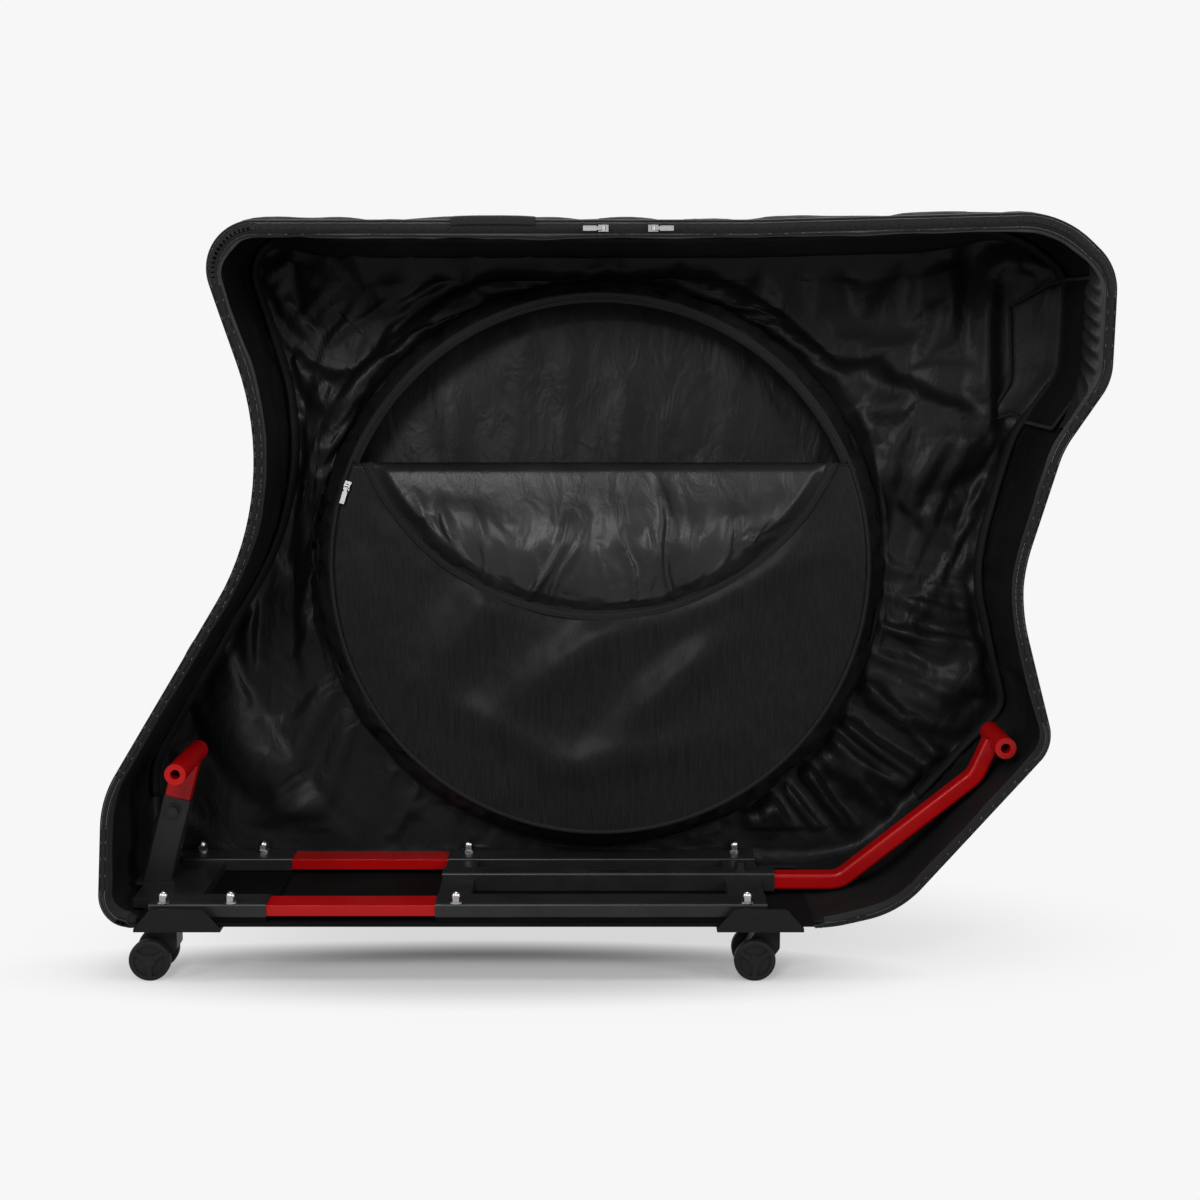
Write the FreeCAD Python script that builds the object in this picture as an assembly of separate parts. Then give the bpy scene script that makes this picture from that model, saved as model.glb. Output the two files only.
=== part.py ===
import FreeCAD
import Part
import math
import os

# Soft travel case for a road bike: a padded bag, open on its near side, on a
# telescopic metal frame with four twin-wheel casters.
# Millimetres. X runs to the front of the case, Y away from the open side, Z up.

V = FreeCAD.Vector

# What the case is made for
WHEELBASE = 1014.0          # rear axle to front axle
WHEEL_DIAMETER = 680.0      # wheel carried in the side pocket
AXLE_BORE = 12.2            # takes a 12 mm thru-axle
FRONT_HUB_WIDTH = 100.0
REAR_HUB_WIDTH = 142.0
REAR_OVERHANG = 85.0        # rear axle to the rear end of the bag
FRONT_OVERHANG = 119.0      # front axle to the front end of the bag
REAR_AXLE_Z = 239.0
FRONT_AXLE_Z = 267.0

# Clearances
OVERRUN = 5.0               # how far a cut passes through what it cuts
SLIDE_GAP = 0.3             # around a tube that slides in another
RUN_GAP = 0.05              # radial, around a turning pin
HOLE_GAP = 0.3              # radial, around a bolt
SOFT_GAP = 0.3              # between cloth pieces
SIDE_GAP = 1.0              # beside a rolling wheel

# Bag
WALL = 5.0                  # padded cloth wall
TOP_HALF = 250.0            # middle plane to the far wall at the top
TOP_ROUND = 60.0            # far top edge
PLAN_KNEE = 30.0            # how far past the base the slanted far corners start
PLAN_ROUND = 70.0
RIM_DEPTH = 22.0            # padded band around the open side, seen from the open side
RIM_WIDTH = 28.0            # the band's width across the case
RIM_LEAD = 45.0             # middle plane to the open edge, upper part
RIM_SPREAD_LOW = 5.0        # above the underside, where the open edge leaves the base
RIM_SPREAD_HIGH = 400.0     # above the underside, where it reaches the upper part
PLAN_REAR_SHARE = -0.36     # of the case length, rear end of the far wall's top
PLAN_FRONT_SHARE = 0.41     # of the case length, front end of the far wall's top
TOP_SPLIT_SHARE = 0.92      # of the bag height, seam of the top panel
BOTTOM_REAR = 45.0          # rear end of the bag to the flat bottom
BOTTOM_FRONT = 20.3         # flat bottom to the corner where the toe rises
TOE_BACK = 220.0            # front axle back to the corner where the toe rises
TOE_ROUND = 150.0
TOE_KNEE_BACK = 138.0       # front axle back to the knee of the toe
TOE_KNEE_RISE = 18.0        # underside up to the knee
TOE_KNEE_ROUND = 130.0
TOE_LEAD = 51.0             # front axle forward to the tip of the toe
TOE_LIFT = 11.0             # front axle up to the tip
TOE_TIP_ROUND = 45.0
# Side outline, corner by corner: the lower rear one, and then, after the toe,
# from the front waist round to the rear. Along as a share of the case length
# from its middle, up and corner radius as shares of the bag height
OUTLINE_SHARES = (
    (-0.5000, 0.0000, 0.045),
    (0.4101, 0.4646, 0.260),
    (0.4524, 0.6675, 0.142),
    (0.4975, 0.7642, 0.083),
    (0.5000, 0.9245, 0.083),
    (0.4442, 1.0012, 0.142),
    (0.1420, 0.9894, 0.830),
    (-0.4089, 0.9894, 0.068),
    (-0.3217, 0.6132, 0.413),
    (-0.4992, 0.1757, 0.142),
)

# Wheel pocket on the far wall
POCKET_EASE = 8.0           # pocket radius over wheel radius
POCKET_FLARE = 25.0         # the pocket's back is wider than its front
POCKET_DEPTH = 70.0
POCKET_FLOOR_GAP = 31.0     # bag underside to the pocket
POCKET_TOP_GAP = 71.0       # pocket to the top of the bag
POCKET_X = -7.0             # pocket centre from the middle of the case
CLOTH = 4.0                 # pocket cloth
FLAP_CHORD_SHARE = 0.3736   # of the pocket radius, its centre up to the fold of the flap
FLAP_MARGIN = 2.2           # around the flap
ZIP_BAND = 12.0             # lip of the pocket wall that the pocket zip runs on
HINGE_LEAD = 0.5            # fold in front of the pocket cloth

# Front guard pad inside the bag
PAD_THICK = 8.0
PAD_SHARES = (0.69, 0.915)  # of the bag height, lower and upper edge
PAD_START_SHARE = 0.43      # of the case length, rear edge
PAD_EDGE_Y = 30.0           # middle plane to the near edge

# Top handle
HANDLE_LENGTH = 100.0
HANDLE_WIDTH = 34.0
HANDLE_THICK = 4.0
HANDLE_LIP = 6.5            # turned down over the open edge
HANDLE_X = -134.0

# Zips
CHAIN_DEPTH = 9.0           # rim edge to the zip chain
CHAIN_WIDTH = 4.0
CHAIN_THICK = 1.6
SLIDER_LENGTH = 12.0
SLIDER_WIDTH = 8.0
SLIDER_THICK = 4.0
LUG_LENGTH = 4.0
LUG_WIDTH = 1.8
LUG_HEIGHT = 4.0
PULL_PIN_RADIUS = 1.0
PULL_PIN_LIFT = 2.5         # pin above the slider body
PULL_EYE_RADIUS = 2.2
PULL_LENGTH = 24.0
PULL_NECK = 8.0             # narrow part of the pull
PULL_WIDTH = 6.0
PULL_THICK = 1.6
REAR_SLIDER_X = -3.0
FRONT_SLIDER_X = 56.0
POCKET_SLIDER_ANGLE = 163.0

# Rails
RAIL_INNER_Y = 80.0         # middle plane to the inner side of a rail
RAIL_WIDTH = 46.0
RAIL_HEIGHT = 18.0
RAIL_WALL = 2.0
RAIL_ROUND = 3.0
TUBE_WALL = 1.5
BOARD_THICK = 4.0
RAIL_REAR = 60.0            # rear end of the bag to the rear rail
REAR_RAIL_LENGTH = 141.0
FRONT_RAIL_INSET = 415.0    # front end of the bag to the front end of the rails
REAR_INSERT = 70.0          # slide tube inside the rear rail
FRONT_INSERT = 150.0        # slide tube inside the front rail
FRONT_RAIL_LENGTH = 399.0
RAIL_TRAVEL = 80.0

# Cross pieces and centre beam
LINK_HEIGHT = 16.0
MID_LINK_LENGTH = 40.0
FRONT_LINK_LENGTH = 62.0
BEAM_WIDTH = 30.0
BEAM_HEIGHT = 25.0
BEAM_WALL = 2.2
BEAM_OVERHANG = 18.0        # beam past the front end of the rails
BEAM_SLOT_LENGTH = 52.0
BEAM_SLOT_WIDTH = 10.0
BEAM_SLOT_ROUND_SHARE = 0.49   # of the slot width, corner radius of its ends
BEAM_SLOT_BACK = 208.0      # beam front end back to the middle of the slot
REAR_CROSS_HEIGHT = 12.0
REAR_CROSS_START = 31.0     # rear end of the bag to the rear cross plate
REAR_CROSS_LENGTH = 83.0

# Fork arm
ARM_HEIGHT = 20.0
ARM_INSERT = 110.0          # arm inside the beam at rest
ARM_ROUND = 4.0
ARM_BEND_RADIUS = 34.0
ARM_LOW_BEND = 196.0        # front axle back to the lower bend
ARM_HIGH_BEND = 28.0        # front axle back to the upper bend
ARM_BEND_DROP = 45.0        # front axle down to the upper bend
ARM_TIP_BACK = 8.0          # front axle back to the end of the arm
HUB_RADIUS = 13.0

# Rear post
POST_WIDTH = 36.0
POST_THICK = 24.0
POST_WALL = 2.0
POST_LENGTH = 112.0
POST_FOOT_BACK = 40.0       # rear axle back to the foot of the post
FOOT_LENGTH = 50.0
FOOT_WIDTH = 46.0
FOOT_THICK = 4.0
HEAD_INSERT = 70.0
HEAD_ROUND = 3.0

# Bolts
BOLT_RADIUS = 4.0
BOLT_SINK_RADIUS = 7.0
BOLT_SINK = 2.0
WASHER_RADIUS = 9.0
WASHER_THICK = 2.0
NUT_RADIUS = 7.5
NUT_HEIGHT = 6.0
BOLT_Y = 118.0              # middle plane to the rail bolts
REAR_BOLT_BACK = 19.0       # rear caster bracket middle back to its bolt
FRONT_BOLT_BACK = 15.0      # front caster bracket middle back to its bolt
CLAMP_INSET = 43.0          # rear rail mouth to its clamp bolt
FRONT_CLAMP_INSET = 25.0    # front rail mouth to its clamp bolt
ARM_CLAMP_INSET = 42.0      # beam mouth to the arm clamp bolt
ARM_BOLT_HEAD = 9.0
POST_CLAMP_INSET = 16.0     # post mouth to the post clamp bolt

# Caster brackets
PLATE_THICK = 4.0
PLATE_INNER_Y = 72.0        # middle plane to the inner edge of the plate
LIP_THICK = 3.0
LIP_HEIGHT = 28.0
LIP_LENGTH = 104.0
LIP_TOP_LENGTH = 62.0
LIP_ROUND = 8.0
REAR_BRACKET_INSET = 96.0   # rear end of the bag to the rear bracket middle
FRONT_BRACKET_BACK = 9.0    # front end of the rails back to the front bracket middle

# Casters
CASTER_Y = 103.0            # middle plane to the caster middle
CASTER_HEIGHT = 62.0        # floor to the bracket plate
CASTER_TRAIL = 18.0         # swivel pin back to the axle
REAR_STEM_BACK = 17.0       # bracket middle back to the rear swivel pin
FRONT_STEM_LEAD = 12.0      # bracket middle forward to the front swivel pin
ROLLER_RADIUS = 25.0
ROLLER_THICK = 14.0
ROLLER_ROUND = 3.0
ROLLER_DISH_RADIUS = 19.0
ROLLER_BOSS_RADIUS = 7.5
ROLLER_DISH = 2.0
ROLLER_SPOKE = 6.0
SPOKE_COUNT = 3
BODY_THICK = 34.0
BODY_HALF = 13.0            # half length of the caster body under the plate
BODY_TAIL = 13.0            # caster body behind the axle
BODY_FLOOR = 11.0           # floor to the caster body
BODY_WAIST = 36.0           # floor to the shoulders of the caster body
BODY_ROUND = 7.0
COLLAR_RADIUS = 15.0
COLLAR_HEIGHT = 6.0
PLATE_GAP = 0.4             # caster body under the bracket plate
PIN_RADIUS = 6.0
PIN_DEPTH = 18.0
PIN_HEAD_RADIUS = 8.5
PIN_HEAD = 1.5
AXLE_RADIUS = 3.0
AXLE_END_GAP = 3.0          # axle end to the outer face of a wheel

# Derived sizes
CASE_LENGTH = WHEELBASE + REAR_OVERHANG + FRONT_OVERHANG
REAR_END = -CASE_LENGTH / 2
FRONT_END = CASE_LENGTH / 2
POCKET_RADIUS = WHEEL_DIAMETER / 2 + POCKET_EASE
FLAP_CHORD = FLAP_CHORD_SHARE * POCKET_RADIUS
POCKET_BACK_RADIUS = POCKET_RADIUS + POCKET_FLARE
BAG_HEIGHT = 2 * POCKET_BACK_RADIUS + POCKET_FLOOR_GAP + POCKET_TOP_GAP
UNDERSIDE = CASTER_HEIGHT + PLATE_THICK
FLOOR = UNDERSIDE + WALL
TOP = UNDERSIDE + BAG_HEIGHT
RAIL_Z = FLOOR + BOARD_THICK
RAIL_TOP = RAIL_Z + RAIL_HEIGHT
RAIL_OUTER_Y = RAIL_INNER_Y + RAIL_WIDTH
BASE_HALF = RAIL_OUTER_Y + SOFT_GAP + WALL
LEAN = (TOP_HALF - BASE_HALF) / BAG_HEIGHT
LIP_Y = BASE_HALF + LEAN * LIP_HEIGHT + SOFT_GAP
TILT = math.atan(LEAN)
REAR_RAIL_START = REAR_END + RAIL_REAR
REAR_RAIL_MOUTH = REAR_RAIL_START + REAR_RAIL_LENGTH
FRONT_RAIL_END = FRONT_END - FRONT_RAIL_INSET
FRONT_RAIL_MOUTH = FRONT_RAIL_END - FRONT_RAIL_LENGTH
BOTTOM_START = REAR_END + BOTTOM_REAR
BEAM_END = FRONT_RAIL_END + BEAM_OVERHANG
ARM_Z = RAIL_Z + BEAM_HEIGHT / 2
REAR_AXLE_X = REAR_END + REAR_OVERHANG
FRONT_AXLE_X = FRONT_END - FRONT_OVERHANG
REAR_BRACKET_X = REAR_END + REAR_BRACKET_INSET
FRONT_BRACKET_X = FRONT_RAIL_END - FRONT_BRACKET_BACK
REAR_STEM_X = REAR_BRACKET_X - REAR_STEM_BACK
FRONT_STEM_X = FRONT_BRACKET_X + FRONT_STEM_LEAD
REAR_BOLT_X = REAR_BRACKET_X - REAR_BOLT_BACK
FRONT_BOLT_X = FRONT_BRACKET_X - FRONT_BOLT_BACK
REAR_CLAMP_X = REAR_RAIL_MOUTH - CLAMP_INSET
FRONT_CLAMP_X = FRONT_RAIL_MOUTH + FRONT_CLAMP_INSET
RUN_TOP = UNDERSIDE + OUTLINE_SHARES[-3][1] * BAG_HEIGHT
POST_FOOT_Z = RAIL_Z + REAR_CROSS_HEIGHT
POST_LEAN = math.atan2(POST_FOOT_BACK, REAR_AXLE_Z - POST_FOOT_Z)
SLIDE_INSET = RAIL_WALL + SLIDE_GAP

# First axis, second axis and normal of each drawing plane
PLANES = {
    "XZ": (V(1, 0, 0), V(0, 0, 1), V(0, 1, 0)),
    "YZ": (V(0, 1, 0), V(0, 0, 1), V(1, 0, 0)),
    "XY": (V(1, 0, 0), V(0, 1, 0), V(0, 0, 1)),
}


def unit(start, end):
    """Direction from one 2-D point to another."""
    run = end[0] - start[0]
    rise = end[1] - start[1]
    size = math.hypot(run, rise)
    return run / size, rise / size


def turn_at(corners, i):
    """Directions into and out of a corner, and the angle turned there."""
    before = corners[i - 1]
    after = corners[(i + 1) % len(corners)]
    a = unit(before, corners[i])
    b = unit(corners[i], after)
    cross = a[0] * b[1] - a[1] * b[0]
    dot = a[0] * b[0] + a[1] * b[1]
    return a, b, math.atan2(cross, dot)


def inset(corners, depth):
    """An outline drawn inside another, its round corners kept concentric."""
    result = []
    for i, (x, z, radius) in enumerate(corners):
        a, b, angle = turn_at(corners, i)
        reach = depth * math.tan(angle / 2)
        x_in = x - a[1] * depth - a[0] * reach
        z_in = z + a[0] * depth - a[1] * reach
        grown = radius - math.copysign(depth, angle)
        result.append((x_in, z_in, max(grown, 0) if radius else 0))
    return result


def rounded_face(corners, plane):
    """Flat face with straight sides and round corners."""
    first, second, normal = PLANES[plane]

    def point(p):
        return first * p[0] + second * p[1]

    edges = []
    ends = []
    for i, (x, z, radius) in enumerate(corners):
        a, b, angle = turn_at(corners, i)
        if not radius:
            ends.append(((x, z), (x, z)))
            continue
        reach = radius * math.tan(abs(angle) / 2)
        start = (x - a[0] * reach, z - a[1] * reach)
        end = (x + b[0] * reach, z + b[1] * reach)
        bow = radius / math.cos(angle / 2) - radius
        middle = unit((x, z), ((start[0] + end[0]) / 2, (start[1] + end[1]) / 2))
        crown = (x + middle[0] * bow, z + middle[1] * bow)
        edges.append(Part.Arc(point(start), point(crown), point(end)).toShape())
        ends.append((start, end))
    for i in range(len(ends)):
        start = point(ends[i - 1][1])
        end = point(ends[i][0])
        edges.append(Part.LineSegment(start, end).toShape())
    return Part.Face(Part.Wire(Part.__sortEdges__(edges)))


def prism(corners, plane, start, end):
    """Outline drawn in a plane and drawn out along the plane's normal."""
    normal = PLANES[plane][2]
    face = rounded_face(corners, plane)
    face.translate(normal * start)
    return face.extrude(normal * (end - start))


def sharp(points):
    """Corners without rounding."""
    return [(x, z, 0) for x, z in points]


def box(x, y, z):
    """Box between two limits on each axis."""
    corner = V(x[0], y[0], z[0])
    return Part.makeBox(x[1] - x[0], y[1] - y[0], z[1] - z[0], corner)


def sides(y):
    """Limits on the near side and on the far side for one band of Y."""
    return {"near": (-y[1], -y[0]), "far": y}


def about(middle, width):
    """Limits of a width about a middle."""
    return middle - width / 2, middle + width / 2


def cylinder(radius, length, base, axis):
    """Round bar from the middle of its base along an axis."""
    return Part.makeCylinder(radius, length, base, axis)


def long_edges(shape, axis):
    """Straight edges of a bar that run along an axis."""
    found = []
    for edge in shape.Edges:
        run = edge.Vertexes[-1].Point - edge.Vertexes[0].Point
        if run.Length and abs(run.normalize().dot(axis)) > 0.999:
            found.append(edge)
    return found


# Bag

def outline(depth):
    """Side outline of the bag, at a depth inside its outer face."""
    corners = []
    for along, up, radius in OUTLINE_SHARES:
        corners.append((along * CASE_LENGTH, UNDERSIDE + up * BAG_HEIGHT, radius * BAG_HEIGHT))
    toe = [
        (FRONT_AXLE_X - TOE_BACK, UNDERSIDE, TOE_ROUND),
        (FRONT_AXLE_X - TOE_KNEE_BACK, UNDERSIDE + TOE_KNEE_RISE, TOE_KNEE_ROUND),
        (FRONT_AXLE_X + TOE_LEAD, FRONT_AXLE_Z + TOE_LIFT, TOE_TIP_ROUND),
    ]
    return inset(corners[:1] + toe + corners[1:], depth)


def far_y(z, depth):
    """Far wall, at a depth inside its outer face."""
    return BASE_HALF + LEAN * (z - UNDERSIDE) - depth / math.cos(TILT)


def bag_block(depth):
    """Everything inside the bag's outer face, or inside a layer at a depth."""
    low = -BAG_HEIGHT
    near = -CASE_LENGTH
    across = [(near, low, 0), (far_y(low, 0), low, 0), (far_y(TOP, 0), TOP, TOP_ROUND), (near, TOP, 0)]
    knee = BASE_HALF + PLAN_KNEE
    plan = [
        (REAR_END, near, 0),
        (FRONT_END, near, 0),
        (FRONT_END, knee, PLAN_ROUND),
        (PLAN_FRONT_SHARE * CASE_LENGTH, TOP_HALF, PLAN_ROUND),
        (PLAN_REAR_SHARE * CASE_LENGTH, TOP_HALF, PLAN_ROUND),
        (REAR_END, knee, PLAN_ROUND),
    ]
    block = prism(outline(depth), "XZ", near / 2, CASE_LENGTH / 2)
    block = block.common(prism(inset(across, depth), "YZ", -CASE_LENGTH, CASE_LENGTH))
    return block.common(prism(inset(plan, depth), "XY", low, TOP + BAG_HEIGHT))


def rim_line(shift):
    """The open edge seen along the case, moved into the case by a shift."""
    spread_low = UNDERSIDE + RIM_SPREAD_LOW
    spread_high = UNDERSIDE + RIM_SPREAD_HIGH
    return [
        (shift - BASE_HALF, UNDERSIDE - OVERRUN),
        (shift - BASE_HALF, spread_low),
        (shift - RIM_LEAD, spread_high),
        (shift - RIM_LEAD, TOP + OVERRUN),
    ]


def rim_zone(start, end):
    """Space between two shifts of the open edge, along the whole case."""
    points = rim_line(end) + rim_line(start)[::-1]
    return prism(sharp(points[::-1]), "YZ", -CASE_LENGTH, CASE_LENGTH)


def behind_rim(start, depth):
    """Space from a shift of the open edge to a depth inside the far wall."""
    low = UNDERSIDE - OVERRUN
    high = TOP + OVERRUN
    far = [(far_y(high, depth), high), (far_y(low, depth), low)]
    points = rim_line(start) + far
    return prism(sharp(points[::-1]), "YZ", -CASE_LENGTH, CASE_LENGTH)


def bottom_zone(height):
    """Space over the flat bottom of the bag."""
    x = (BOTTOM_START, FRONT_AXLE_X - TOE_BACK - BOTTOM_FRONT)
    return box(x, (-CASE_LENGTH, CASE_LENGTH), (UNDERSIDE - OVERRUN, UNDERSIDE + height))


def bag_panels():
    """Padded wall of the bag, split where its panels are sewn together."""
    shell = bag_block(0).cut(bag_block(WALL))
    seam = UNDERSIDE + TOP_SPLIT_SHARE * BAG_HEIGHT
    wide = (-CASE_LENGTH, CASE_LENGTH)
    over = box(wide, wide, (seam, TOP + OVERRUN))
    under = box(wide, wide, (UNDERSIDE - OVERRUN, seam))
    rear = box((-CASE_LENGTH, 0), wide, (UNDERSIDE - OVERRUN, seam))
    lower = bottom_zone(WALL)
    strip = shell.common(behind_rim(RIM_WIDTH, WALL))
    ends = strip.common(under).cut(lower)
    bottom = shell.common(behind_rim(0, WALL)).common(lower)
    return {
        "far_side_panel": shell.cut(behind_rim(-CASE_LENGTH, WALL)),
        "top_panel": strip.common(over),
        "rear_end_panel": ends.common(rear),
        "front_end_panel": ends.cut(rear),
        "bottom_panel": bottom.cut(bottom_slots()),
    }


def bottom_slots():
    """Holes and slots for the bolts that hold the brackets to the rails."""
    width = 2 * (BOLT_RADIUS + HOLE_GAP)
    z = (UNDERSIDE - OVERRUN, FLOOR + OVERRUN)
    cuts = []
    for y in (-BOLT_Y, BOLT_Y):
        slot = (REAR_BOLT_X - width / 2, REAR_BOLT_X + RAIL_TRAVEL + width / 2)
        cuts.append(box(slot, about(y, width), z))
        cuts.append(box(about(FRONT_BOLT_X, width), about(y, width), z))
    return Part.makeCompound(cuts)


def band(outer, inner):
    """Ring of the side outline between two depths, across the whole case."""
    y = (-CASE_LENGTH / 2, CASE_LENGTH / 2)
    return prism(outline(outer), "XZ", *y).cut(prism(outline(inner), "XZ", *y))


def rim_band():
    ring = band(0, RIM_DEPTH).common(rim_zone(0, RIM_WIDTH))
    return ring.cut(bottom_zone(RIM_DEPTH + OVERRUN))


def zip_chain():
    ring = band(CHAIN_DEPTH, CHAIN_DEPTH + CHAIN_WIDTH).common(rim_zone(-CHAIN_THICK, 0))
    return ring.cut(bottom_zone(RIM_DEPTH + OVERRUN))


def top_handle():
    x = about(HANDLE_X, HANDLE_LENGTH)
    front = -RIM_LEAD - SOFT_GAP
    z = RUN_TOP + SOFT_GAP
    pad = box(x, (front - HANDLE_THICK / 2, front + HANDLE_WIDTH), (z, z + HANDLE_THICK))
    lip = box(x, (front - HANDLE_THICK / 2, front), (RUN_TOP - HANDLE_LIP, z + HANDLE_THICK))
    return pad.fuse(lip).removeSplitter()


def front_guard_pad():
    gap = WALL + SOFT_GAP
    layer = bag_block(gap).cut(bag_block(gap + PAD_THICK))
    low, high = [UNDERSIDE + share * BAG_HEIGHT for share in PAD_SHARES]
    zone = box((PAD_START_SHARE * CASE_LENGTH, CASE_LENGTH), (PAD_EDGE_Y, CASE_LENGTH), (low, high))
    return layer.common(zone)


# Wheel pocket, drawn flat on the far wall: x along the case, y up the wall,
# z from the wall towards the open side

def pocket_place():
    up = POCKET_FLOOR_GAP + POCKET_BACK_RADIUS
    z = UNDERSIDE + up * math.cos(TILT)
    base = V(POCKET_X, far_y(z, WALL + SOFT_GAP), z)
    return FreeCAD.Placement(base, FreeCAD.Rotation(V(1, 0, 0), 90 - math.degrees(TILT)))


def on_pocket(shape):
    shape.Placement = pocket_place().multiply(shape.Placement)
    return shape


def pocket_disc(radius, z, low, high):
    """Slice of a round front of the pocket between two heights."""
    wide = (-2 * radius, 2 * radius)
    disc = cylinder(radius, CLOTH, V(0, 0, z), V(0, 0, 1))
    return disc.common(box(wide, (low, high), (z - OVERRUN, z + CLOTH + OVERRUN)))


def pocket_wall():
    """Round wall with a lip for the zip around the mouth."""
    outer = Part.makeCone(POCKET_BACK_RADIUS, POCKET_RADIUS, POCKET_DEPTH)
    inner = Part.makeCone(POCKET_BACK_RADIUS - CLOTH, POCKET_RADIUS - CLOTH, POCKET_DEPTH)
    mouth = cylinder(POCKET_RADIUS - ZIP_BAND, 2 * POCKET_DEPTH, V(0, 0, 0), V(0, 0, 1))
    lip = pocket_disc(POCKET_RADIUS, POCKET_DEPTH, FLAP_CHORD + FLAP_MARGIN, 2 * POCKET_RADIUS)
    return on_pocket(outer.cut(inner).fuse(lip.cut(mouth)).removeSplitter())


def pocket_front():
    return on_pocket(pocket_disc(POCKET_RADIUS, POCKET_DEPTH, -2 * POCKET_RADIUS, FLAP_CHORD))


def pocket_flap():
    z = POCKET_DEPTH + SOFT_GAP
    radius = POCKET_RADIUS - ZIP_BAND - FLAP_MARGIN
    hinge = V(0, FLAP_CHORD, POCKET_DEPTH + CLOTH + HINGE_LEAD)
    flap = pocket_disc(radius, z, FLAP_CHORD + FLAP_MARGIN, 2 * radius)
    flap.rotate(hinge, V(1, 0, 0), 180)
    return on_pocket(flap)


# Zip sliders, drawn with the zip along x and the open side along z

def zip_slider():
    body = box(about(0, SLIDER_LENGTH), about(0, SLIDER_WIDTH), (0, SLIDER_THICK))
    lug_y = (SLIDER_WIDTH / 2 - LUG_WIDTH, SLIDER_WIDTH / 2)
    for y in sides(lug_y).values():
        lug = box(about(0, LUG_LENGTH), y, (SLIDER_THICK, SLIDER_THICK + LUG_HEIGHT))
        body = body.fuse(lug)
    pin = V(0, -SLIDER_WIDTH / 2, SLIDER_THICK + PULL_PIN_LIFT)
    body = body.fuse(cylinder(PULL_PIN_RADIUS, SLIDER_WIDTH, pin, V(0, 1, 0)))
    return body.removeSplitter()


def zip_pull():
    z = SLIDER_THICK + PULL_PIN_LIFT
    eye_width = SLIDER_WIDTH - 2 * (LUG_WIDTH + SOFT_GAP)
    start = V(0, -eye_width / 2, z)
    pull = cylinder(PULL_EYE_RADIUS, eye_width, start, V(0, 1, 0))
    pull = pull.fuse(box((-PULL_NECK, 0), about(0, eye_width), about(z, PULL_THICK)))
    pull = pull.fuse(box((-PULL_LENGTH, -PULL_NECK), about(0, PULL_WIDTH), about(z, PULL_THICK)))
    hole = cylinder(PULL_PIN_RADIUS + RUN_GAP, SLIDER_WIDTH, V(0, -SLIDER_WIDTH / 2, z), V(0, 1, 0))
    return pull.cut(hole).removeSplitter()


def on_rim(shape, x, flipped):
    """Seat a slider on the top run of the rim's zip."""
    across = V(0, 0, -1) if flipped else V(0, 0, 1)
    along = V(-1, 0, 0) if flipped else V(1, 0, 0)
    turn = FreeCAD.Rotation(along, across, V(0, -1, 0), "XYZ")
    z = RUN_TOP - CHAIN_DEPTH - CHAIN_WIDTH / 2
    base = V(x, -RIM_LEAD - CHAIN_THICK - SOFT_GAP, z)
    shape.Placement = FreeCAD.Placement(base, turn)
    return shape


def on_pocket_rim(shape):
    """Seat a slider on the pocket's zip, pull hanging."""
    angle = math.radians(POCKET_SLIDER_ANGLE)
    reach = POCKET_RADIUS - SLIDER_WIDTH
    base = V(reach * math.cos(angle), reach * math.sin(angle), POCKET_DEPTH + CLOTH + SOFT_GAP)
    turn = FreeCAD.Rotation(V(0, 0, 1), POCKET_SLIDER_ANGLE - 90)
    shape.Placement = FreeCAD.Placement(base, turn)
    return on_pocket(shape)


# Frame

def tube(x, y, z, wall, corner):
    """Rectangular tube along the case."""
    bar = box(x, y, z)
    bar = bar.makeFillet(corner, long_edges(bar, V(1, 0, 0)))
    inner_y = (y[0] + wall, y[1] - wall)
    inner_z = (z[0] + wall, z[1] - wall)
    return bar.cut(box((x[0] - OVERRUN, x[1] + OVERRUN), inner_y, inner_z))


def bolt_hole(x, y, z, radius):
    return cylinder(radius, z[1] - z[0], V(x, y, z[0]), V(0, 0, 1))


def side_sign(side):
    return -1 if side == "near" else 1


def rails():
    """Black rails with the red tubes that slide in them."""
    parts = {}
    z = (RAIL_Z, RAIL_TOP)
    hole = BOLT_RADIUS + HOLE_GAP
    through = (UNDERSIDE, RAIL_TOP + OVERRUN)
    upper = (RAIL_TOP - RAIL_WALL - SLIDE_GAP / 2, RAIL_TOP + OVERRUN)
    for side, y in sides((RAIL_INNER_Y, RAIL_OUTER_Y)).items():
        bolt_y = side_sign(side) * BOLT_Y
        rear = tube((REAR_RAIL_START, REAR_RAIL_MOUTH), y, z, RAIL_WALL, RAIL_ROUND)
        rear = rear.cut(bolt_hole(REAR_BOLT_X, bolt_y, through, hole))
        parts[side + "_rear_rail"] = rear.cut(bolt_hole(REAR_CLAMP_X, bolt_y, upper, hole))
        front = tube((FRONT_RAIL_MOUTH, FRONT_RAIL_END), y, z, RAIL_WALL, RAIL_ROUND)
        front = front.cut(bolt_hole(FRONT_BOLT_X, bolt_y, through, hole))
        parts[side + "_front_rail"] = front.cut(bolt_hole(FRONT_CLAMP_X, bolt_y, upper, hole))
        red_y = (y[0] + SLIDE_INSET, y[1] - SLIDE_INSET)
        red_z = (z[0] + SLIDE_INSET, z[1] - SLIDE_INSET)
        red_x = (REAR_RAIL_MOUTH - REAR_INSERT, FRONT_RAIL_MOUTH + FRONT_INSERT)
        parts[side + "_slide_tube"] = tube(red_x, red_y, red_z, TUBE_WALL, TUBE_WALL / 2)
    return parts


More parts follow.
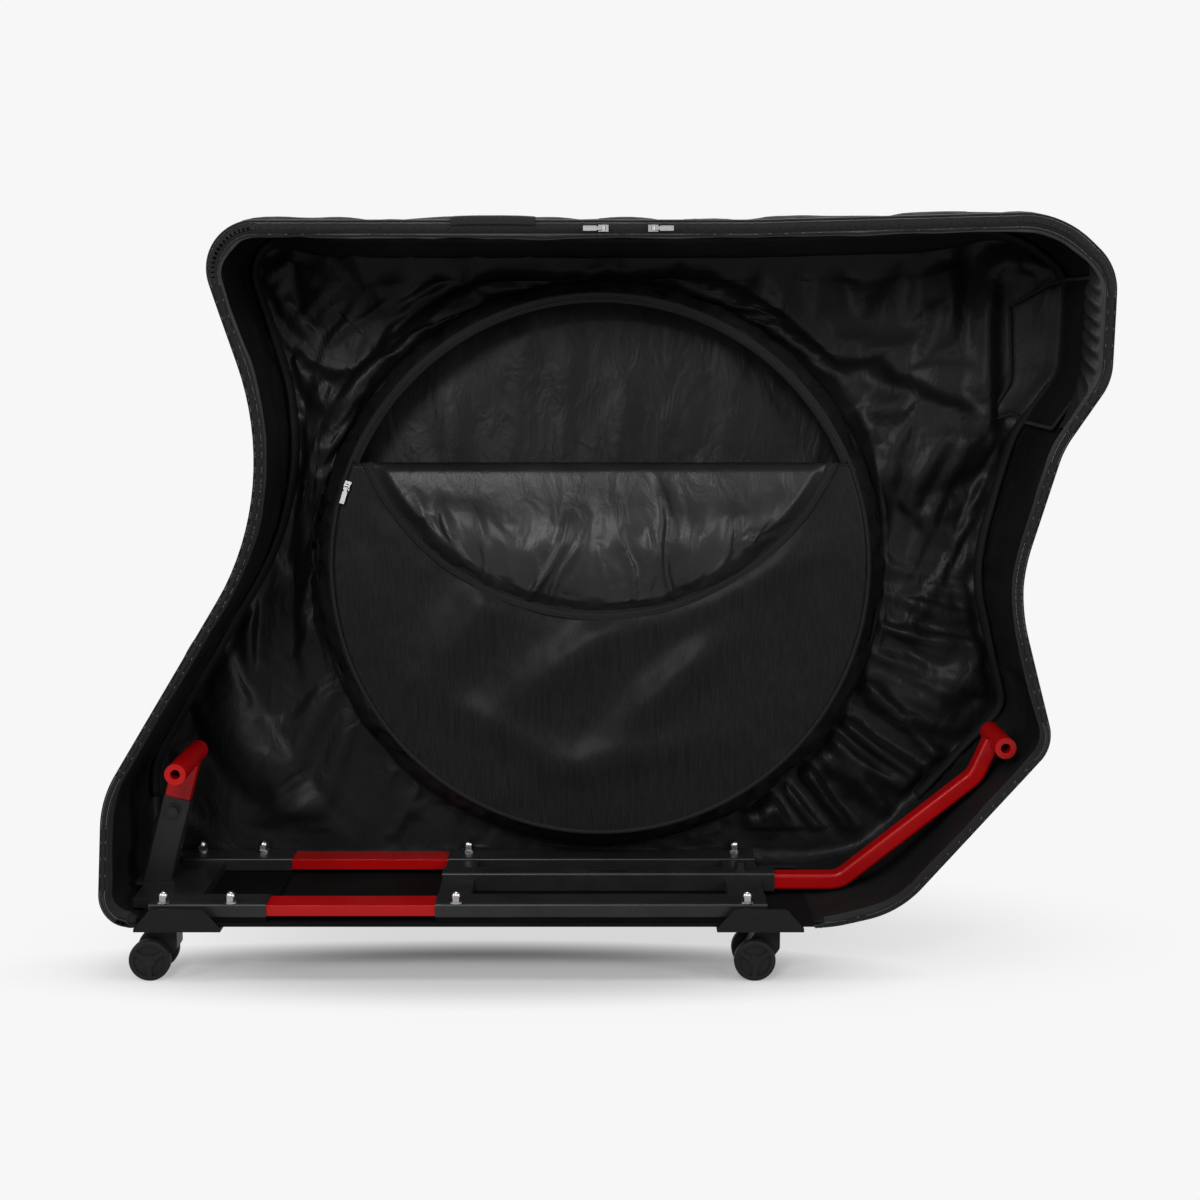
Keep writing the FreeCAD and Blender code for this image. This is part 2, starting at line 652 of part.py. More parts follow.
def boards():
    """Stiff boards on the bottom of the bag, under the rails."""
    hole = BOLT_RADIUS + HOLE_GAP
    z = (FLOOR, RAIL_Z)
    cut_z = (FLOOR - OVERRUN, RAIL_Z + OVERRUN)
    front = box((FRONT_RAIL_MOUTH, FRONT_RAIL_END), (-RAIL_OUTER_Y, RAIL_OUTER_Y), z)
    rear = box((BOTTOM_START, REAR_RAIL_MOUTH), (-RAIL_OUTER_Y, RAIL_OUTER_Y), z)
    for y in (-BOLT_Y, BOLT_Y):
        front = front.cut(bolt_hole(FRONT_BOLT_X, y, cut_z, hole))
        rear = rear.cut(bolt_hole(REAR_BOLT_X, y, cut_z, hole))
    return {"front_board": front, "rear_board": rear}


def links(x):
    """Pair of short bars from the centre beam to the rails."""
    z = (RAIL_Z, RAIL_Z + LINK_HEIGHT)
    return Part.makeCompound([box(x, y, z) for y in sides((BEAM_WIDTH / 2, RAIL_INNER_Y)).values()])


def centre_beam():
    x = (FRONT_RAIL_MOUTH, BEAM_END)
    y = about(0, BEAM_WIDTH)
    beam = tube(x, y, (RAIL_Z, RAIL_Z + BEAM_HEIGHT), BEAM_WALL, RAIL_ROUND)
    top = RAIL_Z + BEAM_HEIGHT
    z = (top - BEAM_WALL - OVERRUN, top + OVERRUN)
    slot_x = about(BEAM_END - BEAM_SLOT_BACK, BEAM_SLOT_LENGTH)
    slot = box(slot_x, about(0, BEAM_SLOT_WIDTH), z)
    slot = slot.makeFillet(BEAM_SLOT_ROUND_SHARE * BEAM_SLOT_WIDTH, long_edges(slot, V(0, 0, 1)))
    hole = bolt_hole(BEAM_END - ARM_CLAMP_INSET, 0, z, BOLT_RADIUS + HOLE_GAP)
    return beam.cut(slot).cut(hole)


def rear_cross():
    x = (REAR_END + REAR_CROSS_START, REAR_END + REAR_CROSS_START + REAR_CROSS_LENGTH)
    return box(x, (-RAIL_INNER_Y, RAIL_INNER_Y), (RAIL_Z, RAIL_Z + REAR_CROSS_HEIGHT))


def arm_corners():
    """Outline of the cranked arm about its centre line."""
    line = [
        (BEAM_END - ARM_INSERT, ARM_Z, 0),
        (FRONT_AXLE_X - ARM_LOW_BEND, ARM_Z, ARM_BEND_RADIUS),
        (FRONT_AXLE_X - ARM_HIGH_BEND, FRONT_AXLE_Z - ARM_BEND_DROP, ARM_BEND_RADIUS),
        (FRONT_AXLE_X - ARM_TIP_BACK, FRONT_AXLE_Z, 0),
    ]
    half = ARM_HEIGHT / 2
    lower = []
    upper = []
    for i, (x, z, radius) in enumerate(line):
        a = unit(line[max(i - 1, 0)], line[max(i, 1)])
        b = unit(line[min(i, 2)], line[min(i + 1, 3)])
        across = (-a[1] - b[1], a[0] + b[0])
        scale = half * 2 / (across[0] ** 2 + across[1] ** 2)
        upper.append((x + across[0] * scale, z + across[1] * scale, radius and radius - half))
        lower.append((x - across[0] * scale, z - across[1] * scale, radius and radius + half))
    return lower + upper[::-1]


def fork_arm():
    half = BEAM_WIDTH / 2 - BEAM_WALL - SLIDE_GAP
    arm = prism(arm_corners(), "XZ", -half, half)
    rim = [edge for edge in arm.Edges if abs(abs(edge.CenterOfMass.y) - half) < SLIDE_GAP]
    ends = [edge for edge in rim if abs(edge.Length - ARM_HEIGHT) > SLIDE_GAP]
    arm = arm.makeFillet(ARM_ROUND, ends)
    return with_hub(arm, FRONT_AXLE_X, FRONT_AXLE_Z, FRONT_HUB_WIDTH)


def with_hub(arm, x, z, width):
    """Weld a cross tube for an axle to an arm and bore it."""
    start = V(x, -width / 2, z)
    solid = arm.fuse(cylinder(HUB_RADIUS, width, start, V(0, 1, 0)))
    bore = cylinder(AXLE_BORE / 2, width + 2 * OVERRUN, start - V(0, OVERRUN, 0), V(0, 1, 0))
    return solid.cut(bore).removeSplitter()


# Rear post, drawn upright on the axle and then leaned

def lean_post(shape):
    shape.rotate(V(REAR_AXLE_X, 0, REAR_AXLE_Z), V(0, 1, 0), math.degrees(POST_LEAN))
    return shape


def post_bar(length, thick, start, end):
    """Upright bar between two distances below the rear axle."""
    z = (REAR_AXLE_Z - end, REAR_AXLE_Z - start)
    return box(about(REAR_AXLE_X, length), about(0, thick), z)


def post_reach():
    return math.hypot(POST_FOOT_BACK, REAR_AXLE_Z - POST_FOOT_Z)


def post_mouth():
    return post_reach() - POST_LENGTH


def rear_post():
    low = post_reach() + POST_WIDTH
    post = post_bar(POST_WIDTH, POST_THICK, post_mouth(), low)
    post = post.makeFillet(HEAD_ROUND, long_edges(post, V(0, 0, 1)))
    inside = 2 * POST_WALL
    post = post.cut(post_bar(POST_WIDTH - inside, POST_THICK - inside, 0, low + OVERRUN))
    z = REAR_AXLE_Z - post_mouth() - POST_CLAMP_INSET
    hole = cylinder(BOLT_RADIUS + HOLE_GAP, POST_THICK / 2 + OVERRUN, V(REAR_AXLE_X, 0, z), V(0, -1, 0))
    post = lean_post(post.cut(hole))
    foot_x = REAR_AXLE_X - POST_FOOT_BACK
    foot = box(about(foot_x, FOOT_LENGTH), about(0, FOOT_WIDTH), (POST_FOOT_Z, POST_FOOT_Z + FOOT_THICK))
    foot = foot.makeFillet(HEAD_ROUND, long_edges(foot, V(0, 0, 1)))
    wide = (-CASE_LENGTH, CASE_LENGTH)
    below = box(wide, wide, (-CASE_LENGTH, POST_FOOT_Z))
    return post.fuse(foot).cut(below).removeSplitter()


def rear_head():
    inside = 2 * (POST_WALL + SLIDE_GAP)
    head = post_bar(POST_WIDTH - inside, POST_THICK - inside, 0, post_mouth() + HEAD_INSERT)
    head = head.makeFillet(HEAD_ROUND - POST_WALL, long_edges(head, V(0, 0, 1)))
    return with_hub(lean_post(head), REAR_AXLE_X, REAR_AXLE_Z, REAR_HUB_WIDTH)


# Bolts

def hexagon(radius, height, base):
    """Upright hexagon bar with its corners at a radius."""
    points = []
    for degrees in range(0, 361, 60):
        angle = math.radians(degrees)
        points.append(V(radius * math.cos(angle), radius * math.sin(angle), 0))
    solid = Part.Face(Part.makePolygon(points)).extrude(V(0, 0, height))
    solid.translate(base)
    return solid


def dome_bolt(x, y, low, seat):
    """Bolt with a washer and a domed nut on its seat."""
    up = V(0, 0, 1)
    solid = cylinder(BOLT_RADIUS, seat - low, V(x, y, low), up)
    solid = solid.fuse(cylinder(WASHER_RADIUS, WASHER_THICK, V(x, y, seat), up))
    solid = solid.fuse(hexagon(NUT_RADIUS, NUT_HEIGHT, V(x, y, seat + WASHER_THICK)))
    crown = NUT_RADIUS * math.cos(math.radians(30))
    dome = Part.makeSphere(crown, V(x, y, seat + WASHER_THICK + NUT_HEIGHT))
    upper = (seat + WASHER_THICK, seat + CASTER_HEIGHT)
    above = box(about(x, 2 * NUT_RADIUS), about(y, 2 * NUT_RADIUS), upper)
    return solid.fuse(dome.common(above)).removeSplitter()


def bracket_bolt(x, y):
    """Rail bolt with a flush head in the bracket plate."""
    bolt = dome_bolt(x, y, CASTER_HEIGHT, RAIL_TOP)
    head = Part.makeCone(BOLT_SINK_RADIUS, BOLT_RADIUS, BOLT_SINK, V(x, y, CASTER_HEIGHT))
    return bolt.fuse(head).removeSplitter()


def rail_bolts(clamp_x, bracket_x):
    """Clamp bolt and bracket bolt of both rails."""
    solids = []
    for y in (-BOLT_Y, BOLT_Y):
        solids.append(dome_bolt(clamp_x, y, RAIL_TOP - RAIL_WALL - SLIDE_GAP / 2, RAIL_TOP))
        solids.append(bracket_bolt(bracket_x, y))
    return Part.makeCompound(solids)


def hex_bolt(low, seat):
    """Upright hexagon bolt over the origin."""
    up = V(0, 0, 1)
    solid = cylinder(BOLT_RADIUS, seat - low, V(0, 0, low), up)
    solid = solid.fuse(cylinder(WASHER_RADIUS, WASHER_THICK, V(0, 0, seat), up))
    head = hexagon(NUT_RADIUS, ARM_BOLT_HEAD, V(0, 0, seat + WASHER_THICK))
    return solid.fuse(head).removeSplitter()


def arm_clamp_bolt():
    top = RAIL_Z + BEAM_HEIGHT
    bolt = hex_bolt(top - BEAM_WALL - SLIDE_GAP / 2, top)
    bolt.translate(V(BEAM_END - ARM_CLAMP_INSET, 0, 0))
    return bolt


def post_clamp_bolt():
    bolt = hex_bolt(POST_THICK / 2 - POST_WALL - SLIDE_GAP / 2, POST_THICK / 2)
    bolt.rotate(V(0, 0, 0), V(1, 0, 0), 90)
    bolt.translate(V(REAR_AXLE_X, 0, REAR_AXLE_Z - post_mouth() - POST_CLAMP_INSET))
    return lean_post(bolt)


# Casters

def bracket(x, stem_x, bolt_x, side):
    """Plate under the bag with a lip up its side."""
    y = sides((PLATE_INNER_Y, LIP_Y + LIP_THICK))[side]
    sign = side_sign(side)
    z = CASTER_HEIGHT
    plate = box(about(x, LIP_LENGTH), y, (z, z + PLATE_THICK))
    half = LIP_LENGTH / 2
    top_half = LIP_TOP_LENGTH / 2
    lip = [
        (x - half, z, 0),
        (x + half, z, 0),
        (x + half, z + PLATE_THICK, 0),
        (x + top_half, z + LIP_HEIGHT, LIP_ROUND),
        (x - top_half, z + LIP_HEIGHT, LIP_ROUND),
        (x - half, z + PLATE_THICK, 0),
    ]
    lip_y = sides((LIP_Y, LIP_Y + LIP_THICK))[side]
    plate = plate.fuse(prism(lip, "XZ", *lip_y))
    up = V(0, 0, 1)
    stem = V(stem_x, sign * CASTER_Y, z - OVERRUN)
    plate = plate.cut(cylinder(PIN_RADIUS + RUN_GAP, PLATE_THICK + 2 * OVERRUN, stem, up))
    head = V(stem_x, sign * CASTER_Y, z + PLATE_THICK - PIN_HEAD)
    plate = plate.cut(cylinder(PIN_HEAD_RADIUS + HOLE_GAP, PIN_HEAD + OVERRUN, head, up))
    bolt = V(bolt_x, sign * BOLT_Y, z)
    plate = plate.cut(cylinder(BOLT_RADIUS + HOLE_GAP, PLATE_THICK + OVERRUN, bolt, up))
    sink = Part.makeCone(BOLT_SINK_RADIUS + HOLE_GAP, BOLT_RADIUS + HOLE_GAP, BOLT_SINK, bolt)
    return plate.cut(sink).removeSplitter()


def swivel_pins(stem_x):
    """Headed pins that the casters turn on."""
    up = V(0, 0, 1)
    top = CASTER_HEIGHT + PLATE_THICK
    solids = []
    for y in (-CASTER_Y, CASTER_Y):
        pin = cylinder(PIN_RADIUS, PLATE_THICK + PIN_DEPTH, V(stem_x, y, CASTER_HEIGHT - PIN_DEPTH), up)
        head = cylinder(PIN_HEAD_RADIUS, PIN_HEAD, V(stem_x, y, top - PIN_HEAD), up)
        solids.append(pin.fuse(head).removeSplitter())
    return Part.makeCompound(solids)


def caster_body(x, y):
    """Body between the two wheels, bored for its pin and its axle."""
    top = CASTER_HEIGHT - PLATE_GAP
    axle_x = x - CASTER_TRAIL
    corners = [
        (axle_x - BODY_TAIL, BODY_FLOOR, BODY_ROUND),
        (axle_x + BODY_TAIL, BODY_FLOOR, BODY_ROUND),
        (x + BODY_HALF, BODY_WAIST, BODY_ROUND),
        (x + BODY_HALF, top, 0),
        (x - BODY_HALF, top, 0),
        (axle_x - BODY_TAIL, BODY_WAIST, BODY_ROUND),
    ]
    half = BODY_THICK / 2
    up = V(0, 0, 1)
    body = prism(corners, "XZ", y - half, y + half)
    body = body.fuse(cylinder(COLLAR_RADIUS, COLLAR_HEIGHT, V(x, y, top - COLLAR_HEIGHT), up))
    low = CASTER_HEIGHT - PIN_DEPTH - SIDE_GAP
    body = body.cut(cylinder(PIN_RADIUS + RUN_GAP, CASTER_HEIGHT, V(x, y, low), up))
    axle = V(axle_x, y - BODY_THICK, ROLLER_RADIUS)
    bore = cylinder(AXLE_RADIUS + RUN_GAP, 2 * BODY_THICK, axle, V(0, 1, 0))
    return body.cut(bore).removeSplitter()


def axle_half():
    return BODY_THICK / 2 + SIDE_GAP + ROLLER_THICK - AXLE_END_GAP


def caster_axle(x, y):
    start = V(x - CASTER_TRAIL, y - axle_half(), ROLLER_RADIUS)
    return cylinder(AXLE_RADIUS, 2 * axle_half(), start, V(0, 1, 0))


def caster_wheel(x, y, sign):
    """Wheel on one side of a caster, dished on its outer face."""
    out = V(0, sign, 0)
    centre = V(x - CASTER_TRAIL, y + sign * (BODY_THICK / 2 + SIDE_GAP), ROLLER_RADIUS)
    wheel = cylinder(ROLLER_RADIUS, ROLLER_THICK, centre, out)
    rims = [edge for edge in wheel.Edges if abs(edge.Length - 2 * math.pi * ROLLER_RADIUS) < SLIDE_GAP]
    wheel = wheel.makeFillet(ROLLER_ROUND, rims)
    face = centre + out * (ROLLER_THICK - ROLLER_DISH)
    dish = cylinder(ROLLER_DISH_RADIUS, ROLLER_DISH + OVERRUN, face, out)
    dish = dish.cut(cylinder(ROLLER_BOSS_RADIUS, ROLLER_DISH + OVERRUN, face, out))
    for i in range(SPOKE_COUNT):
        spoke_x = (centre.x, centre.x + ROLLER_RADIUS)
        spoke_y = about(face.y, 2 * (ROLLER_DISH + OVERRUN))
        spoke = box(spoke_x, spoke_y, about(centre.z, ROLLER_SPOKE))
        spoke.rotate(centre, V(0, 1, 0), 90 + i * 360 / SPOKE_COUNT)
        dish = dish.cut(spoke)
    bore = cylinder(AXLE_RADIUS + RUN_GAP, ROLLER_THICK - AXLE_END_GAP + SIDE_GAP, centre - out, out)
    return wheel.cut(dish).cut(bore)


def casters():
    parts = {}
    ends = {
        "rear": (REAR_BRACKET_X, REAR_STEM_X, REAR_BOLT_X),
        "front": (FRONT_BRACKET_X, FRONT_STEM_X, FRONT_BOLT_X),
    }
    for end, (x, stem_x, bolt_x) in ends.items():
        parts[end + "_caster_pins"] = swivel_pins(stem_x)
        for side in ("near", "far"):
            sign = side_sign(side)
            name = side + "_" + end
            y = sign * CASTER_Y
            parts[name + "_bracket"] = bracket(x, stem_x, bolt_x, side)
            parts[name + "_caster_body"] = caster_body(stem_x, y)
            parts[name + "_caster_axle"] = caster_axle(stem_x, y)
            parts[name + "_outer_wheel"] = caster_wheel(stem_x, y, sign)
            parts[name + "_inner_wheel"] = caster_wheel(stem_x, y, -sign)
    return parts


def all_parts():
    parts = bag_panels()
    parts["rim_band"] = rim_band()
    parts["zip_chain"] = zip_chain()
    parts["top_handle"] = top_handle()
    parts["front_guard_pad"] = front_guard_pad()
    parts["pocket_wall"] = pocket_wall()
    parts["pocket_front"] = pocket_front()
    parts["pocket_flap"] = pocket_flap()
    parts["rear_zip_slider"] = on_rim(zip_slider(), REAR_SLIDER_X, False)
    parts["rear_zip_pull"] = on_rim(zip_pull(), REAR_SLIDER_X, False)
    parts["front_zip_slider"] = on_rim(zip_slider(), FRONT_SLIDER_X, True)
    parts["front_zip_pull"] = on_rim(zip_pull(), FRONT_SLIDER_X, True)
    parts["pocket_zip_slider"] = on_pocket_rim(zip_slider())
    parts["pocket_zip_pull"] = on_pocket_rim(zip_pull())
    parts.update(rails())
    parts.update(boards())
    parts["mid_cross_links"] = links((FRONT_RAIL_MOUTH, FRONT_RAIL_MOUTH + MID_LINK_LENGTH))
    parts["front_cross_links"] = links((BEAM_END - FRONT_LINK_LENGTH, FRONT_RAIL_END))
    parts["centre_beam"] = centre_beam()
    parts["rear_cross"] = rear_cross()
    parts["fork_arm"] = fork_arm()
    parts["rear_post"] = rear_post()
    parts["rear_head"] = rear_head()
    parts["front_rail_bolts"] = rail_bolts(FRONT_CLAMP_X, FRONT_BOLT_X)
    parts["rear_rail_bolts"] = rail_bolts(REAR_CLAMP_X, REAR_BOLT_X)
    parts["arm_clamp_bolt"] = arm_clamp_bolt()
    parts["post_clamp_bolt"] = post_clamp_bolt()
    parts.update(casters())
    return parts


def main():
    """Move the whole case over the origin and write one file for each node."""
    parts = all_parts()
    extent = FreeCAD.BoundBox()
    for shape in parts.values():
        extent.add(shape.optimalBoundingBox(True, False))
    shift = V(-extent.Center.x, -extent.Center.y, -extent.ZMin)
    os.makedirs("parts", exist_ok=True)
    for name, shape in parts.items():
        shape.translate(shift)
        shape.exportStep("parts/" + name + ".step")


main()
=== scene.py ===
import math

import bpy
import numpy as np
from bpy.props import FloatProperty, FloatVectorProperty, IntProperty, PointerProperty
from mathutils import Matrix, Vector, noise


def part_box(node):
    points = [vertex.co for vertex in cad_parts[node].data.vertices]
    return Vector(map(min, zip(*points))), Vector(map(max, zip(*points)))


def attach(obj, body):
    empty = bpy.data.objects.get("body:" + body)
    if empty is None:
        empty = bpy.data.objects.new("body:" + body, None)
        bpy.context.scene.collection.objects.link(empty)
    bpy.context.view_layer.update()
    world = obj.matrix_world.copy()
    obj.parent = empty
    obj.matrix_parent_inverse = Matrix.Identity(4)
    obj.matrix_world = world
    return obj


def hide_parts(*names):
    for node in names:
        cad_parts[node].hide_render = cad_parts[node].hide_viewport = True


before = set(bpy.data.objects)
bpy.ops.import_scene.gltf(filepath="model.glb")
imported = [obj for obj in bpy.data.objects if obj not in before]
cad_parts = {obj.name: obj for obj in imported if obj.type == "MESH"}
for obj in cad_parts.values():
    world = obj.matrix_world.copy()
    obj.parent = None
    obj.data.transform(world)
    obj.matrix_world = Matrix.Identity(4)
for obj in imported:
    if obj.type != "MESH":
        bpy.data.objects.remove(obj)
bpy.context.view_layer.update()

bl_info = {
    "name": "Bike Travel Case",
    "version": (1, 0, 0),
    "blender": (4, 5, 0),
    "location": "3D View > Sidebar > Case",
    "description": "Dresses the frame of a soft bike travel case with cloth, padding and finishes",
    "category": "Object",
}

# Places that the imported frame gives, in metres
MID_Y = (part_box("centre_beam")[0].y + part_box("centre_beam")[1].y) / 2
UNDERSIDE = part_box("bottom_panel")[0].z
BASE_HALF = MID_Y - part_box("bottom_panel")[0].y
BOTTOM_X = (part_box("bottom_panel")[0].x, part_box("bottom_panel")[1].x)

# Side outline of the bag from its lower rear corner: along, up, corner radius
RUN_TOP = 0.905
OUTLINE = (
    (-0.6088, 0.0660, 0.038), (0.2702, 0.0660, 0.150), (0.3522, 0.0840, 0.130),
    (0.5412, 0.2780, 0.045), (0.4997, 0.4600, 0.220), (0.5512, 0.6320, 0.120),
    (0.6062, 0.7140, 0.070), (0.6092, 0.8500, 0.070), (0.5412, 0.9150, 0.120),
    (0.1732, RUN_TOP, 0.704), (-0.4978, RUN_TOP, 0.058), (-0.3916, 0.5860, 0.350),
    (-0.6078, 0.2150, 0.120),
)
# Far wall: how it leans, half width at the top, how its slanted ends run into it, place and slope of each
LEAN = 0.13998
TOP_HALF = 0.250
SLANT_BLEND, SLANT_DIP = 0.04, 0.01
FRONT_SLANT = (0.4996, 0.809)
REAR_SLANT = (-0.4383, 0.520)
# Open edge: height where it leaves the base, height where it is straight, half width there
RIM_LOW, RIM_HIGH, RIM_LEAD = 0.071, 0.466, 0.045
# Where the far top edge is rounder: soft steps at the rear, at the front and in height
TOP_REAR, TOP_FRONT, TOP_HEIGHT = (-0.47, -0.34), (0.40, 0.55), (0.86, 0.89)
# Wheel pocket on the far wall: middle, directions, radius at the front and back, depth
POCKET = np.array((-0.00679, MID_Y + 0.181953, 0.466099))
POCKET_OUT = np.array((0.0, -0.990345, 0.138625))
POCKET_UP = np.array((0.0, 0.138625, 0.990345))
POCKET_FRONT, POCKET_BACK = 0.348, 0.373
POCKET_DEEP = 0.070
# Height of the flap's fold over the middle, radius of the flap, how far before the pocket it hangs
FOLD = 0.130
FLAP_RADIUS = 0.3338
FLAP_OUT = 0.0066
# How far inside their rings the pocket's sheets are sewn
SEWN_IN = 0.002
# Row of the far seam past the side wall, and how firmly it is held there
SEAM_ROW, SEAM_HOLD = 3, 0.8
# Least room that a sheet is given
LEAST = 1e-5
# Places that faces look to: inside the bag, before the case, the pocket and the guard pad
IN_BAG = (0.0, MID_Y, 0.45)
BEFORE_CASE = (0.0, -3.0, 0.45)
BEFORE_POCKET = POCKET + POCKET_OUT
BEFORE_GUARD = (0.3, MID_Y + 0.1, 0.75)
# About the length of the open edge, how deep in the rim the zip runs, thickness of the lining
RIM_LENGTH = 3.15
ZIP_DEPTH = 0.0110
LINING_CLOTH = 0.0008
# Heights that the gathered edging starts and ends at
GATHER_LOW, GATHER_HIGH = 0.65, 0.872
# Heights of the lining's folds: roll over the pocket, streaks on it, steep ones at the front, upright
# ones at both ends, crinkles below the front, long ones at the rear, creases of the toe
ROLL, STREAK, STEEP, UPRIGHT, CRINKLE, REAR_FOLD, CREASE = 0.016, 0.009, 0.013, 0.030, 0.013, 0.014, 0.012
# Share of the rim's depth at heights up its ends
RIM_HEIGHTS, RIM_SHARES = (0.28, 0.45, 0.80, 0.885), (0.42, 0.54, 0.60, 1.0)
# Pleats of the pocket flap: place along it, slant, width, height, how far down it starts
PLEATS = (
    (-0.225, 0.25, 0.010, 0.006, 0.05), (-0.185, 0.35, 0.007, 0.008, 0.06),
    (-0.152, 0.15, 0.006, 0.009, 0.08), (-0.118, 0.30, 0.009, 0.007, 0.11),
    (-0.080, -0.10, 0.006, 0.006, 0.12), (-0.052, -0.45, 0.007, 0.013, 0.08),
    (-0.030, -0.35, 0.005, 0.009, 0.10), (0.004, 0.05, 0.006, 0.007, 0.11),
    (0.030, 0.10, 0.005, 0.009, 0.10), (0.058, 0.08, 0.007, 0.007, 0.09),
    (0.085, 0.12, 0.006, 0.012, 0.04), (0.120, -0.15, 0.009, 0.007, 0.08),
    (0.160, -0.30, 0.007, 0.008, 0.07), (0.205, -0.25, 0.010, 0.006, 0.05),
)
# Soft ridges of the pocket front: along, up, slope, width, height
RIDGES = (
    (-0.03, -0.12, 0.62, 0.030, 0.011), (0.10, -0.15, 0.75, 0.026, 0.010),
    (-0.17, -0.08, 0.95, 0.030, 0.010), (0.19, -0.02, 0.45, 0.028, 0.009),
    (0.03, -0.25, 0.20, 0.026, 0.008), (-0.12, -0.22, -0.5, 0.024, 0.007),
)
# Ovals of the floor with a painted shadow, where its darker paint shows and keeps the real shadow: middle,
# half size, share
PAINTED_SHADOWS = (((-0.15, -0.145), (0.66, 0.165), 0.95), ((0.0, 0.0), (0.80, 0.36), 0.28))


def length(name, description, default):
    """Length with its default."""
    return FloatProperty(name=name, description=description, default=default, unit="LENGTH")


def spare(name, where, default):
    """Share of spare cloth with its default."""
    return FloatProperty(name=name, description="Spare cloth in " + where, default=default,
                         subtype="FACTOR")


def swatch(name, description, default):
    """Colour with its default."""
    return FloatVectorProperty(name=name, description=description, default=default,
                               subtype="COLOR", size=3, min=0.0, max=1.0)


class CaseSizes(bpy.types.PropertyGroup):
    """Sizes of the soft parts."""

    cloth: length("Cloth", "Thickness of the outer cloth", 0.0018)
    padding: length("Padding", "Outer face of the bag to its lining", 0.0046)
    seam_round: length("Seam round", "Round of the far seam", 0.022)
    top_round: length("Top round", "Round of the far top edge", 0.058)
    rim_depth: length("Rim depth", "Rim band seen from the open side", 0.0215)
    rim_width: length("Rim width", "Rim band across the case", 0.028)
    piping: length("Piping", "Radius of the piping in the seams", 0.0024)
    tooth_pitch: length("Tooth pitch", "From one zip tooth to the next", 0.0027)
    stitch_pitch: length("Stitch pitch", "From one stitch to the next", 0.0052)
    shell_slack: spare("Shell slack", "the outer cloth", 0.012)
    lining_slack: spare("Lining slack", "the lining", 0.03)
    pocket_slack: spare("Pocket slack", "the pocket wall", 0.06)
    flap_slack: spare("Flap slack", "the pocket flap", 0.03)
    settle_frames: IntProperty(name="Settle frames", description="Frames that the cloth settles for",
                               default=24)


class CaseColours(bpy.types.PropertyGroup):
    """Colours of the finishes."""

    lining: swatch("Lining", "Black satin lining", (0.0052, 0.0052, 0.0053))
    shell: swatch("Shell", "Outer cloth", (0.0085, 0.0085, 0.0088))
    rim: swatch("Rim", "Charcoal cloth of the rim", (0.056, 0.056, 0.0565))
    pocket: swatch("Pocket", "Woven cloth of the pocket front", (0.0052, 0.0052, 0.0053))
    red: swatch("Red paint", "Paint of the sliding tubes", (0.29, 0.0010, 0.0018))
    frame_black: swatch("Frame black", "Powder coat of the frame", (0.0080, 0.0080, 0.0083))
    plastic: swatch("Plastic", "Moulded brackets and casters", (0.0085, 0.0085, 0.0088))
    steel: swatch("Steel", "Plated bolts and zip pulls", (0.55, 0.55, 0.56))
    backdrop: swatch("Backdrop", "Floor and background", (0.93, 0.93, 0.93))


def sizes():
    return bpy.context.scene.case_sizes


def colours():
    return bpy.context.scene.case_colours


# Lines and rows of points

def evenly(points, count):
    """Points spaced evenly along a line."""
    steps = np.linalg.norm(np.diff(points, axis=0), axis=1)
    along = np.concatenate([[0.0], np.cumsum(steps)])
    at = np.linspace(0.0, along[-1], count)
    return np.column_stack([np.interp(at, along, points[:, k]) for k in range(points.shape[1])])


def round_corners(corners, steps=17):
    """Dense points round an outline of straight runs and round corners."""
    points = []
    for i, (x, z, radius) in enumerate(corners):
        here = np.array((x, z))
        a = here - np.array(corners[i - 1][:2])
        b = np.array(corners[(i + 1) % len(corners)][:2]) - here
        a, b = a / np.linalg.norm(a), b / np.linalg.norm(b)
        turn = math.atan2(a[0] * b[1] - a[1] * b[0], a @ b)
        start = here - a * radius * math.tan(abs(turn) / 2)
        spoke = np.array((a[1], -a[0])) * radius * math.copysign(1.0, turn)
        for t in np.linspace(0.0, turn, steps):
            c, s = math.cos(t), math.sin(t)
            turned = np.array((spoke[0] * c - spoke[1] * s, spoke[0] * s + spoke[1] * c))
            points.append(start - spoke + turned)
    return np.array(points)


def bag_outline(count):
    """Points round the side outline, the first again at the end, and the inward direction at each."""
    dense = round_corners(OUTLINE)
    points = evenly(np.vstack([dense, dense[:1]]), count + 1)
    ahead = np.roll(points[:-1], -1, axis=0) - np.roll(points[:-1], 1, axis=0)
    ahead /= np.linalg.norm(ahead, axis=1)[:, None]
    inward = np.column_stack([-ahead[:, 1], ahead[:, 0]])
    return points, np.vstack([inward, inward[:1]])


def smooth(low, high, value):
    t = np.clip((value - low) / (high - low), 0.0, 1.0)
    return t * t * (3.0 - 2.0 * t)


def between(rise, fall, value):
    """One between two soft steps, and nothing outside them."""
    return smooth(*rise, value) * (1.0 - smooth(*fall, value))


def far_wall(x, z):
    """Outer face of the far wall, with its slanted ends run into it softly."""
    lean = BASE_HALF + LEAN * (z - UNDERSIDE)
    front = TOP_HALF - (x - FRONT_SLANT[0]) * FRONT_SLANT[1]
    rear = TOP_HALF - (REAR_SLANT[0] - x) * REAR_SLANT[1]
    slant = np.minimum(front, rear)
    near = np.maximum(SLANT_BLEND - np.abs(lean - slant), 0.0) / SLANT_BLEND
    return MID_Y + np.minimum(lean, slant) - near * near * SLANT_DIP


def open_edge(z):
    """The open edge seen along the case."""
    return MID_Y + np.interp(z, (RIM_LOW, RIM_HIGH), (-BASE_HALF, -RIM_LEAD))


def row(flat, y):
    return np.column_stack([flat[:, 0], y, flat[:, 1]])


